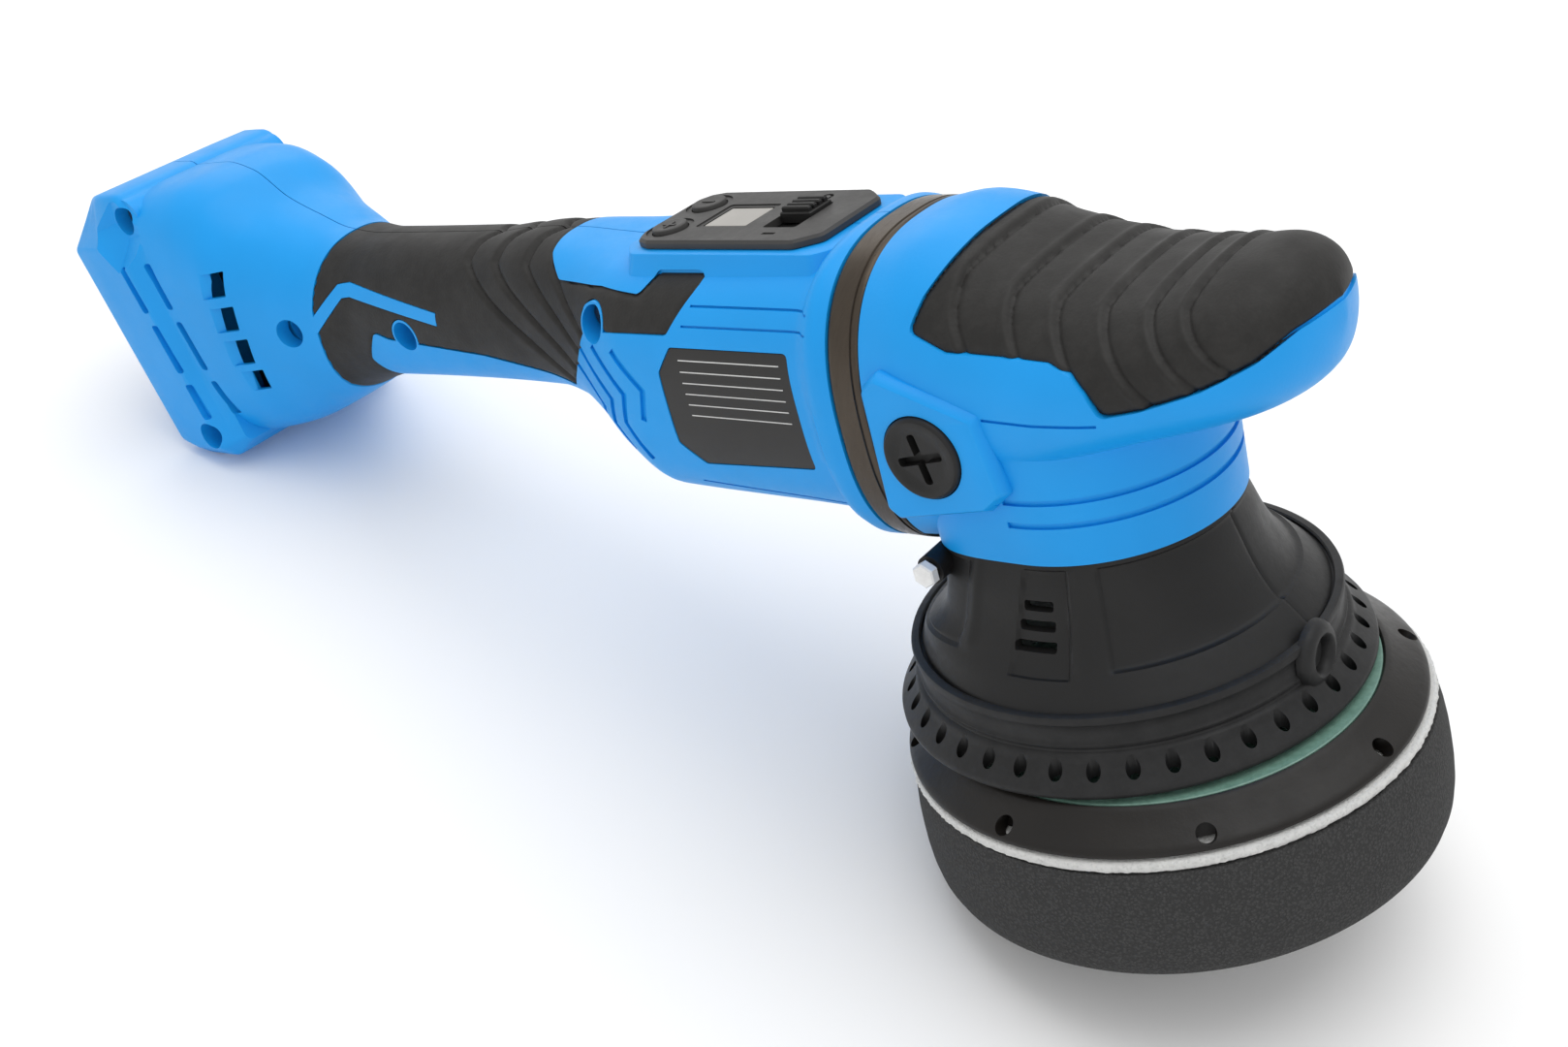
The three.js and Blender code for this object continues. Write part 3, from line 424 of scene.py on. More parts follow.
def relieved(rings, height):
    """Rings moved along their outward direction by a height in millimetres, a function of x, y, z."""
    grid = np.array(rings, float)
    down = np.gradient(grid, axis=0)
    round_ = (np.roll(grid, -1, axis=1) - np.roll(grid, 1, axis=1)) / 2
    normal = np.cross(round_, down)
    normal /= np.maximum(np.linalg.norm(normal, axis=2, keepdims=True), 1e-9)
    centre = grid.mean(axis=1, keepdims=True)
    if np.sum(normal * (grid - centre)) < 0:
        normal = -normal
    flat = grid.reshape(-1, 3)
    h = height(flat[:, 0], flat[:, 1], flat[:, 2]).reshape(grid.shape[:2])
    return list(grid + normal * h[..., None])


def ramp(value, low, high):
    t = np.clip((value - low) / (high - low), 0, 1)
    return t * t * (3 - 2 * t)


def finish(obj, name, material, replaces=(), body="body", sharp=32.0):
    """Names, shades and places a finished piece in the row frame."""
    obj.name = name
    obj.data.name = name
    obj.data.transform(TOOL)
    obj.data.materials.clear()
    obj.data.materials.append(material)
    bm = bmesh.new()
    bm.from_mesh(obj.data)
    bmesh.ops.remove_doubles(bm, verts=bm.verts, dist=2e-6)
    bmesh.ops.dissolve_degenerate(bm, edges=bm.edges, dist=1e-6)
    limit = math.radians(sharp)
    for face in bm.faces:
        face.smooth = True
    for edge in bm.edges:
        edge.smooth = len(edge.link_faces) == 2 and edge.calc_face_angle(0.0) < limit
    bm.to_mesh(obj.data)
    bm.free()
    obj.data.update()
    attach(obj, body)
    if replaces:
        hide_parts(*replaces)
    return obj


# ---- materials
class Nodes:
    """A small builder for one node material."""

    def __init__(self, name):
        self.material = bpy.data.materials.new(name)
        self.material.use_nodes = True
        self.tree = self.material.node_tree
        self.shader = self.tree.nodes["Principled BSDF"]
        self.place = self.add("ShaderNodeTexCoord").outputs["Object"]

    def add(self, kind, **values):
        node = self.tree.nodes.new(kind)
        for key, value in values.items():
            if key in node.inputs:
                node.inputs[key].default_value = value
            else:
                setattr(node, key, value)
        return node

    def link(self, source, target):
        self.tree.links.new(source, target)

    def texture(self, kind, output, size_mm, stretch=(1, 1, 1), **values):
        """A texture node's output, with features about size_mm across."""
        mapping = self.add("ShaderNodeMapping")
        mapping.inputs["Scale"].default_value = [s / (size_mm * MM) for s in stretch]
        self.link(self.place, mapping.inputs["Vector"])
        node = self.add(kind, Scale=1.0, **values)
        self.link(mapping.outputs["Vector"], node.inputs["Vector"])
        return node.outputs[output]

    def noise(self, size_mm, detail=4.0, roughness=0.6, stretch=(1, 1, 1)):
        return self.texture("ShaderNodeTexNoise", "Fac", size_mm, stretch, Detail=detail, Roughness=roughness)

    def cells(self, size_mm):
        return self.texture("ShaderNodeTexVoronoi", "Distance", size_mm, feature="F1", Randomness=1.0)

    def tint(self, factor, low, high):
        """Base colour from a ramp over a factor, between two (place, colour) pairs."""
        node = self.add("ShaderNodeValToRGB")
        for i, (position, colour) in enumerate((low, high)):
            node.color_ramp.elements[i].position = position
            node.color_ramp.elements[i].color = (*colour, 1)
        self.link(factor, node.inputs["Fac"])
        self.link(node.outputs["Color"], self.shader.inputs["Base Color"])

    def span(self, factor, low, high, to_low, to_high):
        node = self.add("ShaderNodeMapRange")
        for key, value in (("From Min", low), ("From Max", high), ("To Min", to_low), ("To Max", to_high)):
            node.inputs[key].default_value = value
        self.link(factor, node.inputs["Value"])
        return node.outputs["Result"]

    def wear(self, factor, low, high, to_low, to_high):
        """Roughness spread between two values over a factor."""
        self.link(self.span(factor, low, high, to_low, to_high), self.shader.inputs["Roughness"])

    def add_up(self, a, b, share):
        node = self.add("ShaderNodeMath", operation="MULTIPLY_ADD")
        self.link(b, node.inputs[0])
        node.inputs[1].default_value = share
        self.link(a, node.inputs[2])
        return node.outputs[0]

    def bump(self, height, depth_mm, strength=1.0):
        node = self.add("ShaderNodeBump", Strength=strength, Distance=depth_mm * MM)
        self.link(height, node.inputs["Height"])
        self.link(node.outputs["Normal"], self.shader.inputs["Normal"])

    def set(self, **values):
        for key, value in values.items():
            self.shader.inputs[key.replace("_", " ")].default_value = value
        return self


def moulded(name, colour, rough=0.42, grain_mm=0.55, depth_mm=0.05, vary=0.06, shine=0.3):
    """Injection-moulded plastic: a fine spark-eroded grain, slight colour drift and scuffed gloss."""
    made = Nodes(name)
    made.set(Metallic=0.0, IOR=1.48, Specular_IOR_Level=shine)
    dark = [c * (1 - vary) for c in colour]
    light = [min(1.0, c * (1 + vary)) for c in colour]
    made.tint(made.noise(38, 3.0), (0.3, dark), (0.7, light))
    scuff = made.add_up(made.noise(9, 5.0, 0.7), made.noise(1.4, 2.0), 0.35)
    made.wear(scuff, 0.45, 0.95, rough - 0.05, rough + 0.1)
    grain = made.add_up(made.noise(grain_mm, 3.0, 0.7), made.cells(grain_mm * 1.6), 0.5)
    made.bump(grain, depth_mm, 0.55)
    return made.material


def rubbery(name, colour, rough=0.56, grain_mm=0.8, depth_mm=0.06):
    """Soft overmoulded rubber: a satin skin that picks up dust, with a pebbled grain."""
    made = Nodes(name)
    made.set(Metallic=0.0, IOR=1.5, Specular_IOR_Level=0.3)
    made.tint(made.noise(6, 6.0, 0.75), (0.42, colour), (0.78, [c * 1.45 + 0.004 for c in colour]))
    made.wear(made.noise(14, 4.0), 0.3, 0.7, rough - 0.07, rough + 0.08)
    made.bump(made.add_up(made.cells(grain_mm), made.noise(grain_mm * 0.6, 2.0), 0.6), depth_mm, 0.5)
    return made.material


def metallic(name, colour, rough=0.34, streak=(1, 1, 1), grain_mm=0.6, metal=1.0):
    """Metal or hard paint, with a tone and a grain that can be drawn out into streaks."""
    made = Nodes(name)
    made.set(Metallic=metal)
    made.tint(made.noise(5, 5.0, 0.7, streak), (0.3, [c * 0.8 for c in colour]), (0.7, colour))
    made.wear(made.noise(grain_mm * 3, 3.0, 0.6, streak), 0.3, 0.7, rough - 0.06, rough + 0.1)
    made.bump(made.noise(grain_mm, 3.0, 0.6, streak), 0.03, 0.5)
    return made.material


def foam_material():
    """Open-cell foam: pores a millimetre across, sunk by the bump and coloured darker than the cell walls as
    painted shade in the pores.
    """
    made = Nodes("foam_open_cell")
    made.set(Metallic=0.0, Roughness=0.93, IOR=1.4)
    pores = made.add_up(made.cells(0.75), made.cells(0.4), 0.5)
    mottle_and_pore_shade = made.add_up(pores, made.noise(7, 3.0), 0.25)
    # painted shade: the colour darkens where the pores sink, on top of a random mottle
    made.tint(mottle_and_pore_shade, (0.3, [0.066] * 3), (1.1, [0.032] * 3))
    made.bump(made.span(pores, 0.1, 1.1, 1.0, 0.0), 0.5, 0.8)
    return made.material


def loop_material():
    """White brushed loop pile, its colour darker between the loops as painted shade."""
    made = Nodes("loop_pile")
    made.set(Metallic=0.0, Roughness=0.95, Sheen_Weight=0.3)
    fibre_pattern_and_shade = made.add_up(made.noise(0.5, 4.0, 0.8), made.cells(0.9), 0.6)
    # painted shade: the pattern that raises the pile also darkens the colour where the pile sits low
    made.tint(fibre_pattern_and_shade, (0.3, (0.52, 0.52, 0.51)), (0.8, (0.74, 0.74, 0.72)))
    made.bump(fibre_pattern_and_shade, 0.5, 0.9)
    return made.material


def laminate_material():
    """Green glass-fibre laminate with a faint weave."""
    made = Nodes("laminate_green")
    made.set(Metallic=0.0, IOR=1.52)
    weave = made.texture("ShaderNodeTexChecker", "Fac", 1.4)
    mix = made.add_up(made.noise(2.2, 3.0), weave, 0.12)
    made.tint(mix, (0.35, (0.12, 0.235, 0.185)), (0.75, (0.17, 0.31, 0.25)))
    made.wear(made.noise(4, 3.0), 0.3, 0.7, 0.35, 0.5)
    made.bump(mix, 0.04, 0.4)
    return made.material


BLUE = moulded("plastic_blue", (0.006, 0.305, 0.77), rough=0.40, depth_mm=0.035, vary=0.04)
BLACK = moulded("plastic_black", (0.0115, 0.0112, 0.011), rough=0.44, grain_mm=0.7, depth_mm=0.05, vary=0.2)
PLATE_BLACK = moulded("plate_black", (0.011, 0.0095, 0.0082), rough=0.36, grain_mm=2.4, depth_mm=0.12,
                      vary=0.25)
PANEL_BLACK = moulded("panel_black", (0.045, 0.044, 0.043), rough=0.48, grain_mm=0.5, depth_mm=0.03, vary=0.1)
GRIP_RUBBER = rubbery("rubber_grip", (0.0138, 0.0130, 0.0120))
SKIRT_RUBBER = rubbery("rubber_skirt", (0.0105, 0.0105, 0.0108), rough=0.5, grain_mm=1.6, depth_mm=0.05)
BRONZE = metallic("ring_bronze", (0.075, 0.060, 0.046), rough=0.32, streak=(3, 0.5, 0.5), metal=0.8)
STEEL = metallic("steel", (0.60, 0.60, 0.61), rough=0.3)
DARK_STEEL = metallic("screw_dark", (0.16, 0.14, 0.13), rough=0.36)
WHITE_PAINT = metallic("bolt_white", (0.86, 0.86, 0.85), rough=0.36, metal=0.0)
CAST = metallic("cast_metal", (0.55, 0.56, 0.57), rough=0.5, grain_mm=1.2)
BRASS = metallic("brass_contact", (0.78, 0.57, 0.25), rough=0.32, streak=(0.4, 0.4, 3))
COPPER = metallic("stator_steel", (0.35, 0.33, 0.32), rough=0.45, streak=(6, 0.4, 0.4))
LABEL = moulded("label_film", (0.022, 0.021, 0.020), rough=0.34, grain_mm=0.4, depth_mm=0.01, vary=0.06)
INK = moulded("label_rule", (0.62, 0.62, 0.61), rough=0.4, grain_mm=0.4, depth_mm=0.01, vary=0.05)
LCD = moulded("lcd_glass", (0.35, 0.335, 0.31), rough=0.16, grain_mm=3.0, depth_mm=0.004, vary=0.10)
BOARD = moulded("circuit_board", (0.012, 0.10, 0.045), rough=0.35, grain_mm=1.2, depth_mm=0.08, vary=0.3)
LEAD = rubbery("lead_insulation", (0.30, 0.02, 0.015), rough=0.4)
FOAM = foam_material()
LOOP = loop_material()
LAMINATE = laminate_material()


# ---- surface helpers
def leaning_x(z, depth=0.0):
    """Where the foot's leaning rear plane is at a height, or a plane some depth ahead of it."""
    return FOOT_X - (z - FOOT_Z) * math.tan(LEAN) + depth


def leaning(z0, z1, d0, d1):
    return [(leaning_x(z, d), z) for d, z in rect(d0, d1, z0, z1)]


def strip(points, width):
    """A ribbon outline of even width along a run of side-view points."""
    p = np.array(points, float)
    d = np.gradient(p, axis=0)
    d /= np.linalg.norm(d, axis=1, keepdims=True)
    n = np.stack([-d[:, 1], d[:, 0]], 1)
    if len(p) > 2:
        for i in range(1, len(p) - 1):
            a, b = p[i] - p[i - 1], p[i + 1] - p[i]
            a, b = a / np.linalg.norm(a), b / np.linalg.norm(b)
            m = np.array([-(a[1] + b[1]), a[0] + b[0]])
            m /= np.linalg.norm(m)
            n[i] = m / max(0.4, float(m @ np.array([-a[1], a[0]])))
    return [tuple(q) for q in p + n * width / 2] + [tuple(q) for q in (p - n * width / 2)[::-1]]


def engraved(outlines, skin, depth, sides=(-1, 1)):
    """A cutter for hollows of even depth, under side-view outlines that don't touch each other."""
    inner, outer = 4, 70
    prisms = [slab(outline, inner * side, outer * side) for outline in outlines for side in sides]
    return cut(merged(prisms), loft(skin(depth)))


def inlaid(outline, outer, under):
    """A piece laid into the surface inside a side-view outline, between an outer and an inner skin."""
    return cut(common(outer, slab(outline, *ACROSS)), under)


def edge_roll(x, z, outline, radius):
    """Height lost near an outline's edge where the piece rolls over with a radius."""
    d = np.minimum(edge_distance(x, z, outline), radius)
    return -(radius - np.sqrt(np.maximum(radius ** 2 - (radius - d) ** 2, 0)))


# ---- clamshell housing
def front_x(z):
    """Where the foot's front plane is at a height."""
    return FOOT_FRONT["x"] - (z - FOOT_FRONT["z"]) * FOOT_FRONT["lean"]


def foot_rings(inset=0.0):
    """The battery foot: a leaning slab with cut-off long corners, a bevelled top and a soft front fold."""
    layers = [(0, 0, 2.65), (0.01, 0, 1.65), (0.03, 0, 0.85), (0.06, 0, 0.27), (0.1, 0, 0), (0.34, 0, 0),
              (0.6, 0, 0), (0.8, 0, 0), (0.94, 0, 0.1), (1, 0, 0.5), (1, 1, 1.2), (1, 4, 3.1), (1, 8, 5.6)]
    half, shoulder, foot_bevel = 38.4, 163, 5
    rings = []
    for share, beyond, edge in layers:
        bottom = max(88.6, 91.4 - 9.6 * share)
        rise = min(1.0, share / 0.6)
        top, corner = 175.4 + 2.9 * rise, 23 + 8 * rise
        outline = [(half, bottom + 4.8), (half, shoulder), (corner, top), (-corner, top), (-half, shoulder),
                   (-half, bottom + 4.8), (foot_bevel - half, bottom), (half - foot_bevel, bottom)]
        ring = rounded(shrunk(outline, inset + edge), 3.2, 6)
        rings.append(np.array([(leaning_x(z) * (1 - share) + beyond + front_x(z) * share, y, z)
                               for y, z in ring]))
    return rings


def panel_block():
    rear, front, half = PANEL["rear"], PANEL["front"], PANEL["half"]
    outline = [
        (rear - 4, -13), (rear + 2, -half - 2.5), (front + 1, -half - 2.5), (front + 5, -half + 1),
        (front + 5, half - 1), (front + 1, half + 2.5), (rear + 2, half + 2.5), (rear - 4, 13),
    ]
    top = PANEL["base"] - GAP
    rings = []
    for z, grow in ((140, 6), (147, 3.2), (150.5, 1.4), (153.4, 0.2), (top - 0.7, 0), (top - 0.2, -0.2),
                    (top, -0.7)):
        rings.append(np.array([(x, y, z) for x, y in rounded(shrunk(outline, -grow), 4)]))
    return loft(rings)


def foot_slots():
    """Two columns of three upright recesses in each side of the foot."""
    return [rounded(leaning(low, high, middle - 1.6, middle + 1.6), 1.3)
            for middle in (24.2, 33.5) for low, high in ((141.5, 157), (120.5, 137.3), (104, 116.5))]


VENT_SPANS = ((144.6, 152.4), (133.4, 141.4), (122, 130.4), (112.6, 119.6))
VENT_WIDTH = 5.4


def vent_edge(z):
    return -286.4 + 0.045 * (134 - z)


def neck_vents():
    """Four windows in each side of the neck, each with a short ramp leading in from the rear."""
    cutters = []
    for low, high in VENT_SPANS:
        window = [(vent_edge(low) - 0.6, low), (vent_edge(low) + VENT_WIDTH - 0.6, low),
                  (vent_edge(high) + VENT_WIDTH + 0.6, high), (vent_edge(high) + 0.6, high)]
        near = [slab(rounded(window, 0.5), *NEAR)]
        rings = []
        for z, slip in ((low, -0.6), (high, 0.6)):
            x = vent_edge(z) + slip
            rings.append(np.array([(x - 4, -34, z), (x + 0.4, -30, z), (x + 0.4, -60, z), (x - 4, -60, z)]))
        near.append(loft(rings))
        cutters += near + [mirrored(c) for c in near]
    area = rounded(rect(-299, -275, 110, 155), 2)
    thin = common(slab(area, *NEAR), loft(barrel_rings(1.6, -310, -262)))
    return cutters + [thin, mirrored(thin)]


def screw_pocket():
    """A shallow six-sided dish round the upper screw of the foot."""
    x, z = SCREWS[3][:2]
    near = rod([(7, -31.5), (14, -36), (20, -42)], (x + 1, z + 1), "y", 6, 13)
    return [near, mirrored(near)]


def barrel_grooves():
    """Moulded lines along the barrel's side and slanted grooves behind the rating plate."""
    lines = [strip([(-86, 145.2), (-47, 145.2)], 0.55), strip([(-88, 141.2), (-47, 141.2)], 0.55),
             strip([(-98, 97.4), (-50, 94.6)], 0.6)]
    slants = [
        [(-136, 128), (-126, 117), (-131, 110)],
        [(-131, 134), (-126, 128.5), (-119, 120.5), (-123, 112.5), (-118.5, 105)],
        [(-122, 134.8), (-112, 123), (-115.5, 114.5), (-110.5, 104)],
        [(-113, 134.8), (-104.5, 124.5), (-107.5, 116)],
        [(-124, 103), (-115, 95.5)],
    ]
    return lines, [strip(run, 1.9) for run in slants]


def grip_windows(clear_bore, clear_band):
    """Where the blue shell shows through the grip: the chevron, the panel's seat and two screw heads."""
    bores = [bar(SCREW_BORE + clear_bore, *ACROSS, (x, z), "y", 48) for x, z, face in SCREWS[1:3]]
    return [slab(strip(CHEVRON, CHEVRON_WIDTH + clear_band), *ACROSS), block(*PANEL_SEAT), *bores]


def clamshell():
    outer = join(loft(foot_rings()), loft(barrel_rings()), panel_block())
    inner = WALL + RUBBER + GAP
    shell = cut(outer, loft(barrel_rings(inner, -300, RING["rear"] + 5)),
                bar(30.4, -119, -40, BARREL_AXIS, "x", 64))
    for x, z, face in SCREWS:
        shell = join(shell, bar(SCREW_BOSS, -face + 3, face - 3, (x, z), "y", 40))
    grip = cut(slab(GRIP_EDGE, *ACROSS), loft(barrel_rings(RUBBER + GAP, -290, -60)),
               *grip_windows(0.7, 0))
    channel_half, throat_half, bay_half = 30.5, 26, 22
    channel = slab(leaning(80, 168, 3, 12), -channel_half, channel_half)
    throat = slab(leaning(80, 168, -5, 3.01), -throat_half, throat_half)
    bay = slab(leaning(140, 164, 11, 26), -bay_half, bay_half)
    lines, slants = barrel_grooves()
    cutters = [
        grip, channel, throat, bay, *neck_vents(), *screw_pocket(),
        engraved(foot_slots(), foot_rings, 2.2),
        engraved([LABEL_EDGE], lambda d: barrel_rings(d, -125, -46), 1.1, sides=(-1,)),
        engraved(lines, lambda d: barrel_rings(d, -100, -42), 0.55),
        engraved(slants, lambda d: barrel_rings(d, -150, -90), 0.9),
        block((PANEL["rear"] - GAP, -PANEL["half"] - GAP, PANEL["base"] - GAP),
              (PANEL["front"] + GAP, PANEL["half"] + GAP, 170)),
        block((-100, -9, 150), (-63, 9, PANEL["base"])),
        bar(11.5, -130, -118, BARREL_AXIS, "x", 48),
        *[bar(3.4, -322, -297, (y, 150), "x", 16) for y in (-4, 4)],
    ]
    for x, z, face in SCREWS:
        cutters += [bar(SCREW_BORE, -60, -face + SCREW_SEAT, (x, z), "y", 40),
                    bar(SCREW_PILOT, -face + SCREW_SEAT - 1, face - 6, (x, z), "y", 20)]
    return cut(shell, *cutters)


def make_housing():
    right, left = halves(clamshell())
    left = cut(left, *[bar(SCREW_BORE, face - 5, 60, (x, z), "y", 40) for x, z, face in SCREWS])
    for side, piece in (("right", right), ("left", left)):
        finish(piece, f"housing_shell_{side}", BLUE, [f"housing_{side}"])


# ---- grip rubber
ARC_STARTS = (-184, -171, -157, -145)


def grip_relief(x, y, z):
    """Swept overlapping folds across the front of the grip, and edges rolled over."""
    sweep = x + 1.25 * np.minimum(z - 150, 0) - 0.06 * np.maximum(8 - np.abs(y), 0) ** 2 * (z > 140)
    height = np.zeros_like(x)
    for start in ARC_STARTS:
        q = sweep - start
        fade = ramp(z, 108, 116)
        height -= fade * 0.95 * np.exp(-(q / 0.95) ** 2)
        height -= fade * 0.55 * np.where(q > 0, np.exp(-q / 4.5), 0)
    height += edge_roll(x, z, GRIP_EDGE, 1.1)
    return height + edge_roll(x, z, strip(CHEVRON, CHEVRON_WIDTH), 0.7) * 0.6


def make_grip():
    """The overmoulded rubber on each half of the grip."""
    low, high = -262, -76
    skin = loft(relieved(barrel_rings(0.0, low, high, 0.8), grip_relief))
    rubber = inlaid(shrunk(GRIP_EDGE, 0.15), skin, loft(barrel_rings(RUBBER, low - 4, high + 4)))
    near, far = halves(cut(rubber, *grip_windows(1, 0.4)))
    for side, piece in (("right", near), ("left", far)):
        finish(piece, f"grip_rubber_{side}", GRIP_RUBBER,
               [f"grip_overmould_{side}"], sharp=50)


def make_vent_shade_sheets():
    """Dark sheets inside the neck, close behind its windows, standing in as painted shade seen through the
    vents.
    """
    for side, name in ((-1, "right"), (1, "left")):
        outline = rounded(rect(-294, -277, 109, 154), 2)
        plate = slab(outline, 21.6 * side, 23.2 * side, chamfer=0.3)
        # painted shade: a black sheet behind each side's windows so they read dark
        finish(plate, f"vent_shade_sheet_{name}", BLACK)


def make_screws():
    """Dark pan-head screws with a cross recess, deep in their counterbores."""
    names = ("grip_rear", "grip_middle", "grip_front", "foot_upper", "foot_lower")
    for name, (x, z, face) in zip(names, SCREWS):
        seat = -face + SCREW_SEAT
        radius = SCREW_BORE - 0.4
        profile = [(radius, seat - GAP), (radius, seat - 1.5), (radius * 0.93, seat - 2.1),
                   (radius * 0.72, seat - 2.5), (radius * 0.4, seat - 2.65)]
        head = join(rod(profile, (x, z)), bar(1.6, seat - 0.5, face - 7, (x, z), "y", 20))
        for dx, dz in ((1.9, 0.42), (0.42, 1.9)):
            head = cut(head, block((x - dx, seat - 3, z - dz), (x + dx, seat - 1.2, z + dz)))
        finish(head, f"screw_{name}", DARK_STEEL, [f"housing_screw_{name}"])


# ---- rating plate
def label_skin(outer, inner):
    """A thin layer of the barrel's surface around the rating plate."""
    return cut(loft(barrel_rings(outer, -125, -46, 1.0)), loft(barrel_rings(inner, -125.5, -45.5)))


def make_plate():
    plate = common(label_skin(0.2, 0.8), slab(shrunk(LABEL_EDGE, 0.25), *NEAR))
    finish(plate, "rating_plate_film", LABEL, ["rating_plate"])
    top, pitch, half = 133.4, 2.9, 0.13
    heights = [top - pitch * i for i in range(6)]
    rules = [slab(rect(-89.5, -57, z - half, z + half), *NEAR) for z in heights]
    ink = common(merged(rules), label_skin(0.12, 0.3))
    finish(ink, "rating_plate_rules", INK)


# ---- trim ring
def make_ring():
    width = RING["front"] - RING["rear"]
    edges = [(0, 0.9), (0.25, 0.4), (0.8, 0.05), (1.4, 0), (width - 2.4, 0), (width - 2.2, 0.35),
             (width - 1.7, 0.35), (width - 1.5, 0.05), (width - 0.8, 0.1), (width - 0.25, 0.45), (width, 0.9)]
    outer = loft([across_x((RING["rear"] + d, *RING_SECTION), inset) for d, inset in edges])
    inner = loft([across_x((RING["rear"] + d, *RING_SECTION), 4) for d in (-1, width + 1)])
    finish(cut(outer, inner), "trim_band", BRONZE, ["trim_ring"])


# ---- head shell and palm grip
def boss_block():
    """The two raised plates that carry the side-handle sockets, with sloped edges."""
    rings = []
    for y, inset in ((-BOSS_FACE, 1.5), (-BOSS_FACE + 0.35, 1.0), (-BOSS_FACE + 2.4, 0), (BOSS_FACE - 2.4, 0),
                     (BOSS_FACE - 0.35, 1.0), (BOSS_FACE, 1.5)):
        rings.append(np.array([(x, y, z) for x, z in rounded(shrunk(BOSS_OUTLINE, inset), 1.6)]))
    return loft(rings)


def make_head():
    outer = join(loft(head_rings()), loft(collar_rings()), boss_block())
    inner = WALL + PALM_RUBBER + GAP
    start, low = RING["front"] - 1, COLLAR_Z - 1
    hollow_rows = curved([(start, *RING_SECTION), *HEAD[1:-2]], steps(start, 60, 3))
    collar_rows = curved([(low, *COLLAR[0][1:]), *COLLAR[1:]], steps(low, 124, 3))
    shell = cut(outer, loft([across_x(s, inner) for s in hollow_rows]),
                loft([across_z(s, WALL + 0.4) for s in collar_rows]))
    at = (PLUG["x"], PLUG["z"])
    shell = join(shell, *[bar(PLUG["radius"] + 2, 28.6 * side, 36 * side, at, "y", 48) for side in (-1, 1)])
    palm = cut(slab(PALM_EDGE, *ACROSS), loft(head_rings(PALM_RUBBER + GAP)))
    grooves = [cut(block((-1.3, -60, low), (60, 60, low + 1.5)), loft(collar_rings(0.8)))
               for low in (97.4, 103.2)]
    lip = engraved([strip([(-0.5, 124.9), (12, 124.4), (27, 124.6)], 0.7)], head_rings, 0.7)
    sockets = [bar(PLUG["radius"] + GAP, 30.6 * side, 60 * side, at, "y", 64) for side in (-1, 1)]
    shell = cut(shell, palm, block((-40, -60, 0), (80, 60, COLLAR_Z)), lip, *grooves, *sockets)
    finish(shell, "head_cover", BLUE, ["head_shell"])


RIB_STARTS = (-7.6, 4.1, 14, 24.3, 34.2, 42)


def palm_relief(x, y, z):
    """Ribs across the palm grip, swept forward down its flanks, each with a step down in front of it."""
    drop = 146 - z
    flank = (drop + np.sqrt(drop ** 2 + 12)) / 2
    run = x - 3 * np.maximum(0, 1 - (y / 20) ** 2) - (0.62 + 0.006 * x) * flank + 0.8
    height = np.full_like(x, -0.4)
    for start in RIB_STARTS:
        q = run - start
        height -= 0.55 * np.exp(-(q / 0.75) ** 2)
        height += 0.36 * np.exp(-((q + 1.6) / 0.9) ** 2)
        height -= 0.25 * np.where(q > 0, np.exp(-q / 3), 0)
    height = np.minimum(height, 0)
    height = height * (1 - ramp(x, 61, 65)) - 0.4 * ramp(x, 61, 65)
    return height + edge_roll(x, z, PALM_EDGE, 1.3)


def make_palm():
    skin = loft(relieved(head_rings(0.0, 0.36, 400), palm_relief))
    piece = inlaid(shrunk(PALM_EDGE, 0.15), skin, loft(head_rings(PALM_RUBBER)))
    finish(piece, "palm_rubber", GRIP_RUBBER, ["palm_grip"], sharp=50)


def make_plugs():
    """Round caps with a coin cross, closing the side-handle sockets."""
    x, z, radius = PLUG["x"], PLUG["z"], PLUG["radius"]
    profile = [(radius - 0.4, -30.9), (radius, -31.4), (radius, -38.9), (radius - 0.25, -39.4),
               (radius - 0.8, -39.8), (radius - 2.4, -39.8), (radius - 2.9, -39.5)]
    cap = rod(profile, (x, z), "y", 72)
    arms = []
    for turn in (12, 102):
        c, s = math.cos(math.radians(turn)), math.sin(math.radians(turn))
        arm = [(x + u * c - v * s, z + u * s + v * c) for u, v in rect(-6.2, 6.2, -1.1, 1.1)]
        arms.append(slab(rounded(arm, 0.9), -60, -37.2))
    cap = cut(cap, *arms)
    for side, piece in (("right", cap), ("left", mirrored(cap))):
        finish(piece, f"socket_cap_{side}", BLACK, [f"side_handle_plug_{side}"])


# ---- control panel
BUTTON = dict(x=-106, y=7.8, radius=4.6)
SWITCH = dict(rear=-75, front=-64.5, half=8, knob=9)
WINDOW = dict(rear=-96.5, front=-82, half=6.1)


def ring_mark(x, y, outer, inner, low, high, sides=40):
    return turned(rect(inner, outer, low, high), sides, (x, y))


def opening(feature, grow=0.0):
    """The outline of the window or the switch slot, grown on every side."""
    half = feature["half"] + grow
    return rect(feature["rear"] - grow, feature["front"] + grow, -half, half)


